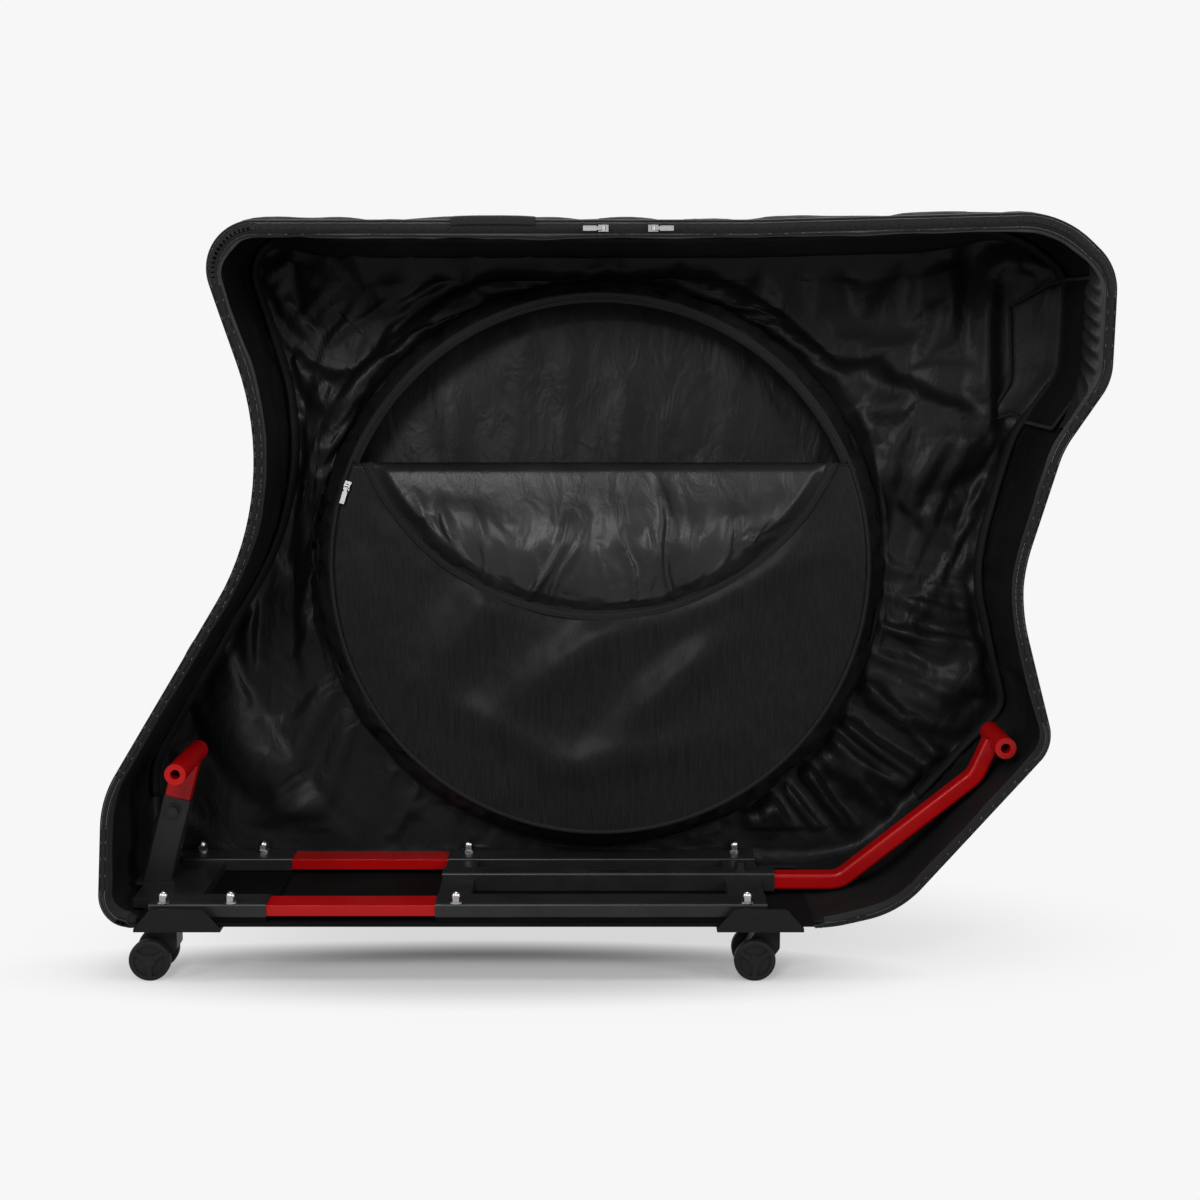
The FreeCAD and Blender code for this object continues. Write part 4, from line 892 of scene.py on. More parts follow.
class CASE_OT_lining(bpy.types.Operator):
    """Make the satin lining, the wall behind the pocket, the binding and the gathered edging"""

    bl_idname = "case.lining"
    bl_label = "Lining"

    def execute(self, context):
        self.lining()
        self.pocket_back()
        self.binding()
        self.gathers()
        return {"FINISHED"}

    def lining(self):
        size = sizes()
        counts, sewn_below = (18, 6, 34), 0.085
        rows = bag_rows(size.padding, columns=480, start=0.006, counts=counts)
        piece = lay_grid("bag_lining", rows)
        face_to(piece, IN_BAG, True)
        rest, out, order = read(piece), normals_of(piece), row_numbers(piece)
        seam = counts[0] + SEAM_ROW
        pins = np.zeros(len(rest))
        pins[order == seam] = SEAM_HOLD
        pins[(order == 0) | (order >= sum(counts) - 2) | (rest[:, 2] < sewn_below)] = 1.0
        room = self.room(rest, order, seam)
        folds = self.folds(rest) * smooth(seam, seam + 6, order) * smooth(sewn_below, 0.16, rest[:, 2])
        folds += self.creases(rest) * (order <= counts[0])
        fine = grain(rest, scale=16.0, seed=3.0) + 0.6 * grain(rest, scale=38.0, seed=7.0)
        start_off(piece, rest, out, np.clip(0.6 * folds + 0.0020 * fine, -0.001, 0.9 * room), pins)
        settle(piece, pins, size.lining_slack, bend=0.5, frames=size.settle_frames, push=0.8, gravity=0.1)
        for_slack, for_folds = 0.55, 0.45
        keep_within(piece, rest, read(piece) - rest, out, for_slack * room)
        most = np.where(pins < 0.5, for_folds * room, LEAST)
        move_points(piece, read(piece) + out * (most * np.tanh(folds / most))[:, None])
        delete_faces(piece, over_bottom)
        thicken(piece, LINING_CLOTH, -1.0)
        dress(piece, finish("lining"))
        piece.data.materials.append(finish("wall lining"))
        sideways, toe_top = 0.6, 0.34
        for face in piece.data.polygons:
            if abs(face.normal.y) < sideways and face.center.z < toe_top:
                face.material_index = 1

    def folds(self, points):
        """Folds of the far wall, by the distance from the pocket's middle and the angle in degrees."""
        x, _, z = points.T
        along, up = x - POCKET[0], (z - POCKET[2]) / POCKET_UP[2]
        reach, angle = np.hypot(along, up), np.degrees(np.arctan2(up, along))
        nothing = np.zeros_like(x)
        over = between((15.0, 50.0), (150.0, 190.0), angle)
        roll_starts, roll_width = 0.372, 0.042
        roll = ROLL * np.sin(np.pi * np.clip((reach - roll_starts) / roll_width, 0.0, 1.0)) * over
        streaks = grain(np.column_stack([np.radians(angle) * 0.39, reach * 3.4, nothing]), 18.0, 5.0)
        roll += STREAK * np.maximum(streaks, 0.0) * between((95.0, 115.0), (160.0, 175.0), angle)
        steep = grain(np.column_stack([x - 0.5 * z, nothing, (z + 0.5 * x) * 0.14]), 34.0, 9.0)
        steep = STEEP * np.maximum(steep + 0.05, 0.0) * smooth(0.31, 0.36, x) * (1.0 - smooth(0.66, 0.74, z))
        steep *= smooth(0.34, 0.44, z)
        upright = grain(np.column_stack([x, nothing, z * 0.22]), 15.0, 2.0)
        ends = smooth(0.30, 0.40, np.abs(along)) * smooth(0.22, 0.4, z)
        upright = UPRIGHT * np.maximum(upright + 0.12, 0.0) * ends
        turn = np.column_stack([np.radians(angle) * 0.42, reach * 0.16, nothing])
        crinkle = 1.0 - np.abs(grain(turn, 23.0, 8.0)) * 3.4 + 0.9 * grain(turn, 55.0, 4.0)
        low = between((-75.0, -55.0), (-12.0, 4.0), angle)
        crinkle = CRINKLE * np.maximum(crinkle, 0.0) * low * smooth(0.373, 0.40, reach)
        rear = grain(np.column_stack([x + 0.6 * z, nothing, (z - 0.6 * x) * 0.25]), 11.0, 6.0)
        rear = REAR_FOLD * np.maximum(rear, 0.0) * (1.0 - smooth(-0.36, -0.28, x))
        rear *= 1.0 - smooth(0.34, 0.5, z)
        return roll + steep + upright + crinkle + rear

    def creases(self, points):
        """Slanting creases in the wall of the toe, on the open side of the arm."""
        x, y, z = points.T
        across = np.column_stack([x + z + 1.2 * y, 0.2 * (x + z), np.zeros_like(x)])
        toe = smooth(0.20, 0.30, x) * (1.0 - smooth(0.30, 0.42, z))
        return CREASE * np.maximum(grain(across, 24.0, 12.0) + 0.05, 0.0) * toe

    def room(self, points, order, seam):
        """How far the lining may stand into the bag: less by the frame and behind the rim."""
        on_wall, on_side, at_rim, each_row, tight, fade = 0.024, 0.009, 0.002, 0.006, 0.0012, 0.03
        arm_from, arm_top, arm_half = 0.18, 0.34, 0.08
        room = np.where(order > seam, on_wall, on_side)
        room = np.minimum(room, at_rim + each_row * np.maximum(order - 1, 0))
        x, y, z = points.T
        by_arm = (x > arm_from) & (z < arm_top) & (np.abs(y - MID_Y) < arm_half)
        room = np.where(by_arm, tight, room)
        low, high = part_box("front_guard_pad")
        by_pad = smooth(low.x - fade, low.x + 0.004, x) * smooth(low.z - fade, low.z, z)
        by_pad *= 1.0 - smooth(high.z, high.z + fade, z)
        room = np.minimum(room, tight + fade * (1.0 - by_pad))
        return np.where(z < 0.12, np.minimum(room, 0.0006 + 0.1 * np.maximum(z - 0.09, 0.0)), room)

    def pocket_back(self):
        """Lining of the far wall inside the pocket."""
        rows = disc_rows(POCKET_BACK - SEWN_IN, math.pi, columns=110, count=91, out=0.0012)
        piece = lay_grid("pocket_back", rows)
        points = read(piece)
        soft = np.zeros(len(points))
        for high, upright, scale, seed in ((0.011, 0.4, 10.0, 5.0), (0.004, 0.3, 27.0, 2.0)):
            soft += high * np.maximum(grain(points * np.array((1.0, 1.0, upright)), scale, seed), 0.0)
        reach = np.linalg.norm(points - POCKET, axis=1) / POCKET_BACK
        soft *= 1.0 - reach ** 6
        move_points(piece, points + soft[:, None] * POCKET_OUT)
        face_to(piece, BEFORE_POCKET, True)
        thicken(piece, LINING_CLOTH, 1.0)
        dress(piece, finish("lining"))

    def binding(self):
        """Soft binding over the far seam."""
        gap, counts, above = 0.004, (4, 12, 2), 0.16
        rows = bag_rows(sizes().padding + gap, columns=440, start=0.0, counts=counts)
        rows = rows[counts[0] + SEAM_ROW:counts[0] + 9]
        keep = np.nonzero(rows[0][:, 2] > above)[0]
        picked = rows[:, keep[0]:keep[-1] + 1]
        piece = lay_grid("seam_binding", picked)
        face_to(piece, IN_BAG, True)
        across = np.abs(np.linspace(-1.0, 1.0, len(picked)))[row_numbers(piece)]
        high, uneven, thick = 0.0034, 0.0016, 0.0012
        puff_out(piece, high * (1.0 - across ** 2.5) + uneven * grain(read(piece), scale=22.0, seed=4.0))
        thicken(piece, thick, -1.0)
        dress(piece, finish("binding"))

    def gathers(self):
        """Gathered edging along the front end, between the rim and the guard pad."""
        gap, front_end, slant, pitch = 0.0014, 0.50, 0.9, 0.021
        edge_high, full, fold_high = 0.002, 0.014, 0.0066
        points, inward = bag_outline(1500)
        x, z = points.T
        keep = (x > front_end) & (z > GATHER_LOW) & (z < GATHER_HIGH)
        points, inward = points[keep], inward[keep]
        edge = points + inward * (sizes().padding + gap)
        rows = [row(edge, open_edge(points[:, 1]) + y) for y in np.linspace(0.020, 0.073, 14)]
        piece = lay_grid("edge_gather", rows)
        face_to(piece, IN_BAG, True)
        rest = read(piece)
        across = row_numbers(piece) / (len(rows) - 1)
        turn = (rest[:, 2] - slant * (rest[:, 1] - MID_Y)) * 2.0 * math.pi / pitch
        fold = 0.5 + 0.5 * np.sin(turn + 3.5 * grain(rest, scale=13.0, seed=3.0))
        ends = between((GATHER_LOW, 0.72), (0.82, GATHER_HIGH), rest[:, 2])
        crown = edge_high + (full + fold_high * fold ** 1.6) * ends
        crown = crown * np.sin(np.pi * across) ** 0.7
        puff_out(piece, crown)
        thicken(piece, LINING_CLOTH, -1.0)
        # The edging takes the flap's satin: its paler colour is painted highlight on the lining's gathers;
        # its gloss is the satin's own.
        dress(piece, finish("flap"))


def rim_path(count):
    """Points along the open edge, from the front end of the flat bottom over the top to its rear end."""
    points, inward = bag_outline(1600)
    x, z = points.T
    lift = 0.0008
    on_flat = (z < UNDERSIDE + lift) & (x > BOTTOM_X[0]) & (x < BOTTOM_X[1])
    first = np.nonzero(~on_flat & (x > 0.0))[0][0]
    order = np.arange(first, first + len(points) - 1) % (len(points) - 1)
    order = order[: np.nonzero(on_flat[order])[0][0]]
    both = evenly(np.column_stack([points[order], inward[order]]), count)
    return both[:, :2], both[:, 2:]


def rim_share(points):
    """How deep the rim is along its path: full over the top, narrower down both ends and under the toe."""
    x, z = points.T
    share = np.interp(z, RIM_HEIGHTS, RIM_SHARES)
    toe = smooth(0.18, 0.30, x) * (1.0 - smooth(0.24, 0.36, z))
    along = np.linspace(0.0, 1.0, len(points))
    ends = between((0.0, 0.008), (0.986, 1.0), along)
    less_at_toe, at_ends = 0.30, 0.40
    return share * (1.0 - less_at_toe * toe) * (at_ends + 0.60 * ends)


def rim_drift(points):
    """How far the inner edge of the rim wanders."""
    base = row(points, open_edge(points[:, 1]))
    return 0.0030 * grain(base, scale=6.0, seed=8.0) + 0.0014 * grain(base, scale=21.0, seed=5.0)


def rim_line(count, depth, out, wander=0.0):
    """Line on the rim: depth inside the outline, out towards the open side."""
    points, inward = rim_path(count)
    depth = depth * rim_share(points) + wander * rim_drift(points)
    return row(points + inward * depth[:, None], open_edge(points[:, 1]) - out)


def rim_sides(count):
    """Direction into the bag across the rim, at points along it."""
    inward = rim_path(count)[1]
    return np.column_stack([inward[:, 0], np.zeros(count), inward[:, 1]])


class CASE_OT_rim(bpy.types.Operator):
    """Make the padded rim with its piping, stitches and zip"""

    bl_idname = "case.rim"
    bl_label = "Rim and zip"

    def execute(self, context):
        self.band()
        self.zip()
        self.stitches()
        return {"FINISHED"}

    def band(self):
        size = sizes()
        columns, square, front_face = 520, 0.55, -0.8
        bead, bead_at, bead_wide = 0.0011, 0.0108, 0.0035
        points, inward = rim_path(columns)
        half_depth, half_width = size.rim_depth / 2, size.rim_width / 2
        rows = []
        base = row(points, open_edge(points[:, 1]))
        swell = 1.0 + 0.08 * grain(base, scale=9.0, seed=2.0) + 0.06 * grain(base, scale=31.0, seed=6.0)
        swell *= rim_share(points)
        drift = rim_drift(points)
        for angle in np.linspace(0.0, 2.0 * math.pi, 37):
            c, s = math.cos(angle), math.sin(angle)
            depth = half_depth * (1.0 + math.copysign(abs(c) ** square, c))
            across = half_width * (1.0 + math.copysign(abs(s) ** square, s))
            if s < front_face:
                across += bead * math.exp(-((depth - bead_at) / bead_wide) ** 2)
            rows.append(row(points + inward * (depth * swell + drift * (depth > half_depth))[:, None],
                            base[:, 1] + across))
        piece = lay_grid("rim_padding", rows, close_ends, turn_out)
        dress(piece, finish("rim"))
        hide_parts("rim_band")
        for name, depth, wander in (("rim_outer_piping", 0.0024, 0.0),
                                    ("rim_inner_piping", 0.0196, 1.0)):
            line = rim_line(columns, depth, out=-0.0006, wander=wander)
            cord(name, line, size.piping * 0.55, across=(0.0, 1.0, 0.0), closed=False)

    def zip(self):
        count = int(RIM_LENGTH / sizes().tooth_pitch)
        tape_out, teeth_out, stagger, thick = 0.0006, 0.0016, 0.0009, 0.0006
        lines = [rim_line(420, depth, tape_out) for depth in (0.0052, ZIP_DEPTH, 0.0168)]
        tape = lay_grid("zip_tape", lines)
        face_to(tape, BEFORE_CASE, True)
        thicken(tape, thick, 1.0)
        dress(tape, finish("tape"))
        middle = rim_line(count, ZIP_DEPTH, teeth_out)
        ahead = np.gradient(middle, axis=0)
        side = rim_sides(count)
        sign = np.where(np.arange(count) % 2, 1.0, -1.0)[:, None]
        tooth = small_block(size=(0.0019, 0.0026, 0.0014), bevel=0.0003)
        chain = copies("zip_teeth", tooth, middle + side * sign * stagger, ahead, side)
        dress(chain, finish("teeth"))
        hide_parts("zip_chain")

    def stitches(self):
        count = int(RIM_LENGTH / sizes().stitch_pitch)
        lines = [rim_line(count, depth, out=0.0004) for depth in (0.0042, 0.0178)]
        ahead = np.vstack([np.gradient(line, axis=0) for line in lines])
        stitch = small_block(size=(0.0034, 0.0008, 0.0007), bevel=0.0002)
        piece = copies("rim_stitches", stitch, np.vstack(lines), ahead, np.vstack([rim_sides(count)] * 2))
        dress(piece, finish("thread"))


class CASE_OT_pocket(bpy.types.Operator):
    """Make the gathered wall, the zip lip and the woven front of the wheel pocket"""

    bl_idname = "case.pocket"
    bl_label = "Wheel pocket"

    def execute(self, context):
        self.wall()
        self.lip()
        self.front()
        return {"FINISHED"}

    def wall(self):
        size = sizes()
        count, columns, bulge, off_wall, thick = 15, 400, 0.006, 0.0016, 0.0012
        angle = np.linspace(0.0, 2.0 * math.pi, columns + 1)
        rows = []
        for t in np.linspace(0.0, 1.0, count):
            radius = POCKET_BACK - SEWN_IN + (POCKET_FRONT - POCKET_BACK) * t
            radius += bulge * math.sin(math.pi * t)
            rows.append(on_ring(radius, angle, POCKET_DEEP * t + off_wall))
        piece = lay_grid("pocket_gather", rows)
        face_to(piece, POCKET, False)
        rest, out, order = read(piece), normals_of(piece), row_numbers(piece)
        pins = np.where((order == 0) | (order == count - 1), 1.0, 0.0)
        start = 0.002 * (grain(rest, scale=30.0, seed=1.0) + grain(rest, scale=14.0, seed=4.0))
        start_off(piece, rest, out, start, pins)
        settle(piece, pins, size.pocket_slack, bend=0.6, frames=size.settle_frames, push=2.0)
        above_frame = smooth(0.12, 0.2, rest[:, 2])
        keep_within(piece, rest, read(piece) - rest, out, room=0.0004 + 0.0105 * above_frame, back=0.006)
        thicken(piece, thick, -1.0)
        dress(piece, finish("gather"))
        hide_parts("pocket_wall")
        for name, radius, out in (("pocket_back_piping", POCKET_BACK - 0.001, 0.003),
                                  ("pocket_front_piping", POCKET_FRONT - 0.001, POCKET_DEEP + 0.0015)):
            cord(name, on_ring(radius, angle, out), radius=0.0028, across=POCKET_OUT, closed=True)

    def lip(self):
        """Zip tape with teeth around the mouth of the pocket."""
        above_fold, thick, radius, pitch, teeth_out = 0.002, 0.0012, 0.340, 0.0030, 0.0036
        end = math.asin((FOLD + above_fold) / POCKET_FRONT)
        angle = np.linspace(end, math.pi - end, 220)
        section = ((0.3475, 0.0012), (0.344, 0.0026), (0.340, 0.0028), (0.3365, 0.0016))
        piece = lay_grid("pocket_lip", [on_ring(at, angle, POCKET_DEEP + out) for at, out in section])
        face_to(piece, BEFORE_POCKET, True)
        thicken(piece, thick, 1.0)
        dress(piece, finish("tape"))
        count = int(radius * (math.pi - 2.0 * end) / pitch)
        angle = np.linspace(end, math.pi - end, count)
        middle = on_ring(radius, angle, POCKET_DEEP + teeth_out)
        side = on_ring(1.0, angle, 0.0) - POCKET
        tooth = small_block(size=(0.0020, 0.0036, 0.0012), bevel=0.0)
        teeth = copies("pocket_teeth", tooth, middle, np.gradient(middle, axis=0), side)
        dress(teeth, finish("teeth"))

    def front(self):
        radius, off_wall, short = POCKET_FRONT - SEWN_IN, 0.002, 0.004
        bulge, uneven, ridge_length, covered_high, thick = 0.004, 0.0022, 0.11, 0.0006, 0.0014
        rows = disc_rows(radius, math.acos(-FOLD / radius), columns=120, count=90,
                         out=POCKET_DEEP + off_wall)
        piece = lay_grid("pocket_disc", rows)
        face_to(piece, BEFORE_POCKET, True)
        rest = read(piece)
        flat = rest - POCKET
        along, up = flat[:, 0], flat @ POCKET_UP
        reach = np.hypot(along, up) / radius
        soft = bulge * (1.0 - reach ** 4)
        soft += uneven * grain(rest * np.array((1.0, 0.0, 0.35)), 13.0, 6.0) * (1.0 - reach ** 6)
        for x, z, slope, width, high in RIDGES:
            off = (along - x) * math.sin(slope) - (up - z) * math.cos(slope)
            far = (along - x) * math.cos(slope) + (up - z) * math.sin(slope)
            soft += high * np.exp(-(off / width) ** 2 - (far / ridge_length) ** 2) * (1.0 - reach ** 6)
        covered = smooth(FLAP_RADIUS * 1.06, FLAP_RADIUS * 0.9, np.hypot(along, 2.0 * FOLD - up))
        soft = np.clip(soft, -0.001, 0.014) * (1.0 - covered) + covered_high * covered
        move_points(piece, rest + soft[:, None] * POCKET_OUT * (up < FOLD - short)[:, None])
        thicken(piece, thick, -1.0)
        dress(piece, finish("pocket"))
        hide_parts("pocket_front")
        half = math.sqrt(radius ** 2 - FOLD ** 2)
        x = np.linspace(-half, half, 80)
        line = on_pocket(x, FOLD - 0.003, POCKET_DEEP + 0.0012)
        cord("pocket_hem", line, radius=0.0018, across=(0.0, 0.0, 1.0), closed=False)


class CASE_OT_flap(bpy.types.Operator):
    """Make the satin pocket flap, folded down, with its piped edge"""

    bl_idname = "case.flap"
    bl_label = "Pocket flap"

    def execute(self, context):
        self.satin()
        self.outside()
        self.hem()
        return {"FINISHED"}

    def spread(self, name, columns, count, out):
        """Sheet of the flap's half-moon shape, hanging down from its fold."""
        across = np.linspace(-1.0, 1.0, columns + 1)
        rows = []
        for t in np.linspace(0.0, 1.0, count):
            angle = (1.0 - t) * math.acos((FOLD + 0.001) / FLAP_RADIUS)
            fall = FLAP_RADIUS * math.cos(angle) - FOLD
            half = FLAP_RADIUS * math.sin(angle)
            rows.append(on_pocket(across * half, FOLD - fall, POCKET_DEEP + out))
        piece = lay_grid(name, rows)
        face_to(piece, BEFORE_POCKET, True)
        return piece

    def declare(self, piece):
        """Takes no step; the piece is left as it is."""

    def satin(self):
        size = sizes()
        hem, thick, held = 0.010, 0.0014, 0.9
        piece = self.spread("flap_satin", columns=170, count=80, out=FLAP_OUT)
        rest = read(piece)
        flat = rest - POCKET
        along, down = flat[:, 0], FOLD - flat @ POCKET_UP
        edge = FLAP_RADIUS - np.hypot(along, FOLD + down)
        inside = smooth(0.009, 0.028, edge) * smooth(0.0, 0.010, down)
        out = np.broadcast_to(POCKET_OUT, rest.shape)
        bulge = out * (self.pillow(along, down) * inside)[:, None]
        move_points(piece, rest + bulge)
        pins = np.where((edge < hem) | (down < 0.004), held, 0.0)
        settle(piece, pins, size.flap_slack, bend=0.5, frames=size.settle_frames, push=0.6)
        loose = smooth(0.04, 0.11, down)[:, None]
        moved = bulge * (1.0 - loose) + (read(piece) - rest) * loose
        keep_within(piece, rest, moved, out, room=0.0006 + 0.046 * inside, back=0.001, sideways=0.010)
        thicken(piece, thick, -1.0)
        dress(piece, finish("flap"), "pocket_flap")
        self.declare(piece)
        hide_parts("pocket_flap")

    def outside(self):
        """Woven outside of the flap, which shows when the pocket is shut."""
        piece = self.spread("flap_outside", columns=60, count=30, out=0.0044)
        thicken(piece, LINING_CLOTH, -1.0)
        dress(piece, finish("pocket"), "pocket_flap")
        self.declare(piece)

    def hem(self):
        """Taped hem round the flap with a bead on each side."""
        count, above_fold, wave_high, thick, cord_out = 200, 0.004, 0.0030, 0.0010, 0.0012
        end = math.asin((FOLD + above_fold) / FLAP_RADIUS)
        angle = np.linspace(end, math.pi - end, count)
        spread = np.column_stack([angle, np.zeros(count), np.zeros(count)])
        wave = grain(spread, scale=5.0, seed=3.0) + 0.4 * grain(spread, scale=14.0, seed=6.0)
        wave = wave_high * np.maximum(wave, 0.0)

        def arc(inset, out):
            radius = FLAP_RADIUS - inset - wave
            return on_pocket(radius * np.cos(angle), 2.0 * FOLD - radius * np.sin(angle),
                             POCKET_DEEP + FLAP_OUT + out + wave)

        section = ((0.0110, 0.0006), (0.0085, 0.0026), (0.0045, 0.0028), (0.0006, 0.0004))
        tape = lay_grid("flap_tape", [arc(*at) for at in section])
        face_to(tape, BEFORE_POCKET, True)
        thicken(tape, thick, 1.0)
        dress(tape, finish("tape"), "pocket_flap")
        for name, inset, radius in (("flap_piping", 0.0022, 0.0022), ("flap_bead", 0.0112, 0.0016)):
            cord(name, arc(inset, cord_out), radius, across=POCKET_OUT, closed=False,
                 body="pocket_flap")

    def pillow(self, along, down):
        """How far the flap stands out: a roll below the fold, with pleats that run to the hem."""
        at_fold, roll, weave = 0.009, 0.024, 0.006
        full = at_fold * smooth(-0.006, 0.014, down) + roll * smooth(0.0, 0.115, down)
        full -= roll * smooth(0.10, 0.20, down)
        fade = 1.0 - 0.5 * smooth(0.15, 0.2, down)
        pleats = np.zeros_like(along)
        for place, slant, width, high, start in PLEATS:
            middle = place + slant * (down - 0.1) + weave * np.sin(down * 40.0 + place * 60.0)
            ridge = np.exp(-(np.abs(along - middle) / width) ** 1.4)
            pleats += high * ridge * smooth(start - 0.03, start + 0.03, down) * fade
        return full + pleats


class CASE_OT_trim(bpy.types.Operator):
    """Make the front guard pad and the top handle patch"""

    bl_idname = "case.trim"
    bl_label = "Guard pad and handle"

    def execute(self, context):
        self.guard()
        self.handle()
        return {"FINISHED"}

    def guard(self):
        gap, inset, lines_across, high_crown, uneven, thick = 0.003, 0.004, 40, 0.0045, 0.0012, 0.002
        rows = bag_rows(sizes().padding + gap, columns=900, start=0.0, counts=(60, 10, 60))
        low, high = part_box("front_guard_pad")
        x, _, z = rows[0].T
        column = np.nonzero((x > low.x) & (z > low.z) & (z < high.z))[0]
        picked = rows[:, column[0]:column[-1] + 1]
        near = np.argmax(picked[:, :, 1].mean(axis=1) > low.y)
        past_near = np.arange(len(picked)) > near
        far = np.argmax((picked[:, :, 0].mean(axis=1) < low.x + inset) & past_near)
        lines = picked[near:far].transpose(1, 0, 2)
        picked = np.array([evenly(line, lines_across) for line in lines]).transpose(1, 0, 2)
        piece = lay_grid("guard_padding", picked)
        face_to(piece, BEFORE_GUARD, True)
        u = np.abs(np.linspace(-1.0, 1.0, picked.shape[1]))
        v = np.abs(np.linspace(-1.0, 1.0, picked.shape[0]))
        crown = ((1.0 - v ** 8)[:, None] * (1.0 - u ** 8)[None, :]).ravel()
        bumps = uneven * grain(read(piece), scale=26.0, seed=2.0) * crown
        puff_out(piece, high_crown * crown ** 0.5 + bumps)
        thicken(piece, thick, -1.0)
        refine(piece)
        dress(piece, finish("lining"))
        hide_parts("front_guard_pad")
        self.guard_edge(picked)

    def guard_edge(self, picked):
        """Piping round the guard pad."""
        facing = np.cross(np.gradient(picked, axis=0), np.gradient(picked, axis=1))
        facing /= np.linalg.norm(facing, axis=2)[:, :, None]
        middle, lift = (len(picked) // 2, len(picked[0]) // 2), 0.0016
        if facing[middle] @ (np.array(BEFORE_GUARD) - picked[middle]) < 0:
            facing = -facing
        raised = picked + lift * facing
        loops = []
        for field in (raised, facing):
            loops.append(np.vstack([field[0, :-1], field[:-1, -1], field[-1, :0:-1], field[::-1, 0]]))
        cord("guard_piping", loops[0], sizes().piping, across=loops[1], closed=True)

    def handle(self):
        """Ribbed patch on the top of the rim, turned down over its edge."""
        low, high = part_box("top_handle")
        columns, count, inset, lift, thick = 91, 30, 0.001, 0.0006, 0.0026
        turned_down, turn_share, bow_high, rib_high, rib_turns = 0.0085, 0.10, 0.0012, 0.0005, 90.0
        wide = np.linspace(-1.0, 1.0, columns)
        half, centre = (high.x - low.x) / 2, (high.x + low.x) / 2
        bow = bow_high * (1.0 - np.abs(wide) ** 3)
        ribs = rib_high * np.sin(wide * rib_turns) * smooth(0.0, 0.15, 1.0 - np.abs(wide))
        top = RUN_TOP + lift + bow + ribs
        rows = []
        for t in np.linspace(0.0, 1.0, count):
            y = low.y + inset + (high.y - low.y - inset) * t
            drop = turned_down * max(0.0, 1.0 - t / turn_share) ** 2
            rows.append(np.column_stack([centre + wide * half, np.full(columns, y), top - drop]))
        piece = lay_grid("handle_patch", rows)
        face_to(piece, (centre, low.y, 2.0), True)
        thicken(piece, thick, 1.0)
        keep_modifier(piece, "BEVEL", width=0.0008, segments=2, limit_method="ANGLE")
        dress(piece, finish("tape"))
        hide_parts("top_handle")


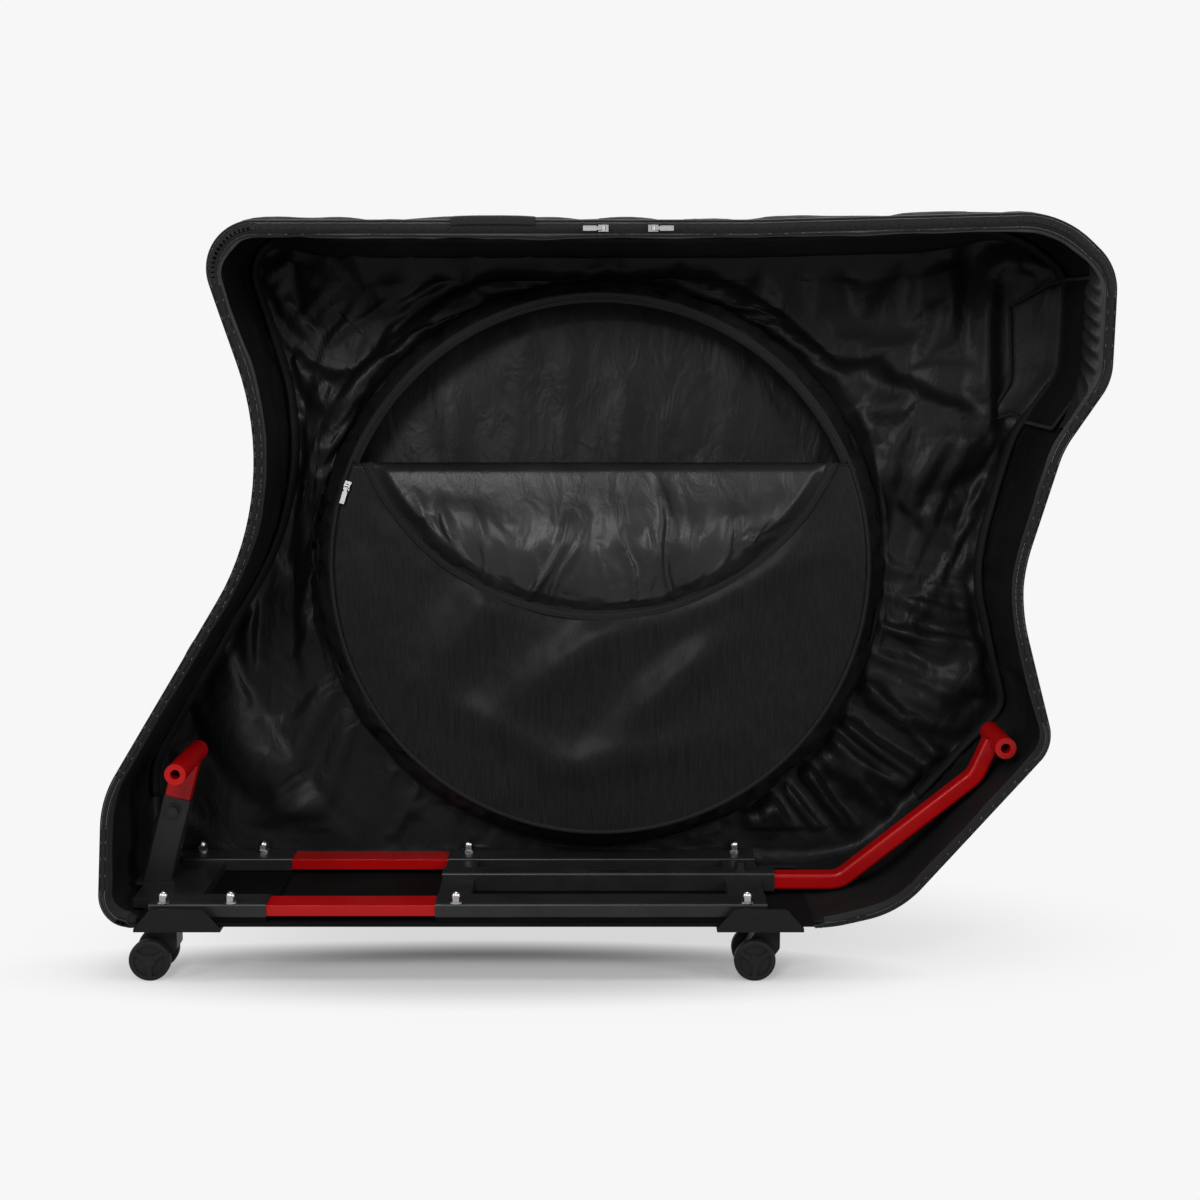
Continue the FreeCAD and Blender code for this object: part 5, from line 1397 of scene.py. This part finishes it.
class CASE_OT_stage(bpy.types.Operator):
    """Set the floor, the soft studio light and the camera"""

    bl_idname = "case.stage"
    bl_label = "Studio stage"

    def execute(self, context):
        self.floor()
        self.lights()
        self.camera()
        context.scene.view_settings.view_transform = "Standard"
        return {"FINISHED"}

    def floor(self):
        deselect()
        bpy.ops.mesh.primitive_plane_add(size=14.0)
        piece = named("studio_floor")
        colour = (*colours().backdrop, 1.0)
        piece.data.materials.append(self.floor_paint(colour))
        world = bpy.data.worlds.new("studio")
        bpy.context.scene.world = world
        world.use_nodes = True
        nodes = Tree(world.node_tree)
        ray = nodes.add("ShaderNodeLightPath").outputs
        seen = nodes.math("MAXIMUM", ray["Is Camera Ray"], ray["Is Glossy Ray"])
        seen = nodes.math("MAXIMUM", seen, ray["Is Transmission Ray"])
        background = nodes.tree.nodes["Background"].inputs
        background["Color"].default_value = colour
        nodes.link(nodes.spread(seen, low=0.20, high=1.0), background["Strength"])

    def floor_paint(self, colour):
        """Pale floor with a painted shadow: in ovals under the case its paint is darker, and keeps the real
        shadow, running into the background away from the case.
        """
        # Painted shadow: the floor's diffuse paint is darker than the background that it runs into.
        nodes = Nodes("studio floor with painted shadow", shade(colours().backdrop, 0.60), 0.95, Specular_IOR_Level=0.0)
        glow = nodes.add("ShaderNodeEmission", {"Color": colour})
        painted_shadow = nodes.math("MAXIMUM", *(self.painted_shadow_oval(nodes, *oval) for oval in PAINTED_SHADOWS))
        mix = nodes.add("ShaderNodeMixShader")
        nodes.link(painted_shadow, mix.inputs["Fac"])
        nodes.link(glow.outputs["Emission"], mix.inputs[1])
        nodes.link(nodes.shader.outputs["BSDF"], mix.inputs[2])
        nodes.link(mix.outputs["Shader"], nodes.tree.nodes["Material Output"].inputs["Surface"])
        return nodes.material

    def painted_shadow_oval(self, nodes, middle, half, share):
        """Share of the darker floor paint, a painted shadow that keeps the real one, fading out of an oval
        on the floor.
        """
        oval = nodes.place((1.0 / half[0], 1.0 / half[1], 1.0),
                           shift=(-middle[0] / half[0], -middle[1] / half[1], 0.0))
        reach = nodes.add("ShaderNodeVectorMath", operation="LENGTH")
        nodes.link(oval, reach.inputs[0])
        away = nodes.add("ShaderNodeMapRange", {"From Min": 0.30, "To Min": share, "To Max": 0.0},
                         interpolation_type="SMOOTHSTEP")
        nodes.link(reach.outputs["Value"], away.inputs["Value"])
        return away.outputs["Result"]

    def lights(self):
        for name, place, aim, size, power in (
            ("key light", (-0.60, -2.6, 2.05), (0.0, 0.0, 0.45), 0.8, 52.0),
            ("fill light", (1.6, -2.7, 1.5), (0.1, 0.0, 0.45), 0.8, 18.0),
            ("top light", (0.0, 0.2, 3.2), (0.0, 0.0, 0.5), 1.8, 60.0),
            ("left light", (-2.4, -1.5, 1.5), (-0.2, 0.1, 0.5), 0.9, 26.0),
            ("right light", (2.4, -1.5, 1.3), (0.3, 0.1, 0.5), 0.9, 26.0),
        ):
            bpy.ops.object.light_add(type="AREA", location=place)
            lamp = bpy.context.object
            lamp.name = name
            lamp.data.size = size
            lamp.data.energy = power
            lamp.rotation_euler = (Vector(aim) - Vector(place)).to_track_quat("-Z", "Y").to_euler()

    def camera(self):
        place, tilt = (-0.00679, -2.50125, 0.788), math.radians(82.0)
        bpy.ops.object.camera_add(location=place, rotation=(tilt, 0.0, 0.0))
        camera = bpy.context.object
        camera.data.lens = 60.0
        camera.data.sensor_width = 36.0
        bpy.context.scene.camera = camera


class CASE_PT_panel(bpy.types.Panel):
    """Sizes, colours and steps of the travel case"""

    bl_idname = "CASE_PT_panel"
    bl_label = "Bike travel case"
    bl_space_type = "VIEW_3D"
    bl_region_type = "UI"
    bl_category = "Case"

    def draw(self, context):
        for group in (context.scene.case_sizes, context.scene.case_colours):
            box = self.layout.box()
            for key in group.bl_rna.properties.keys():
                if key not in ("rna_type", "name"):
                    box.prop(group, key)
        for step in STEPS:
            self.layout.operator(step.bl_idname)


STEPS = (
    CASE_OT_stage, CASE_OT_frame, CASE_OT_shell, CASE_OT_lining, CASE_OT_rim,
    CASE_OT_pocket, CASE_OT_flap, CASE_OT_trim,
)
CLASSES = (CaseSizes, CaseColours, *STEPS, CASE_PT_panel)


def register():
    for cls in CLASSES:
        bpy.utils.register_class(cls)
    bpy.types.Scene.case_sizes = PointerProperty(type=CaseSizes)
    bpy.types.Scene.case_colours = PointerProperty(type=CaseColours)


def unregister():
    del bpy.types.Scene.case_colours
    del bpy.types.Scene.case_sizes
    for cls in reversed(CLASSES):
        bpy.utils.unregister_class(cls)


def main():
    register()
    deselect()
    for step in STEPS:
        group, name = step.bl_idname.split(".")
        getattr(getattr(bpy.ops, group), name)()


if __name__ == "__main__":
    main()
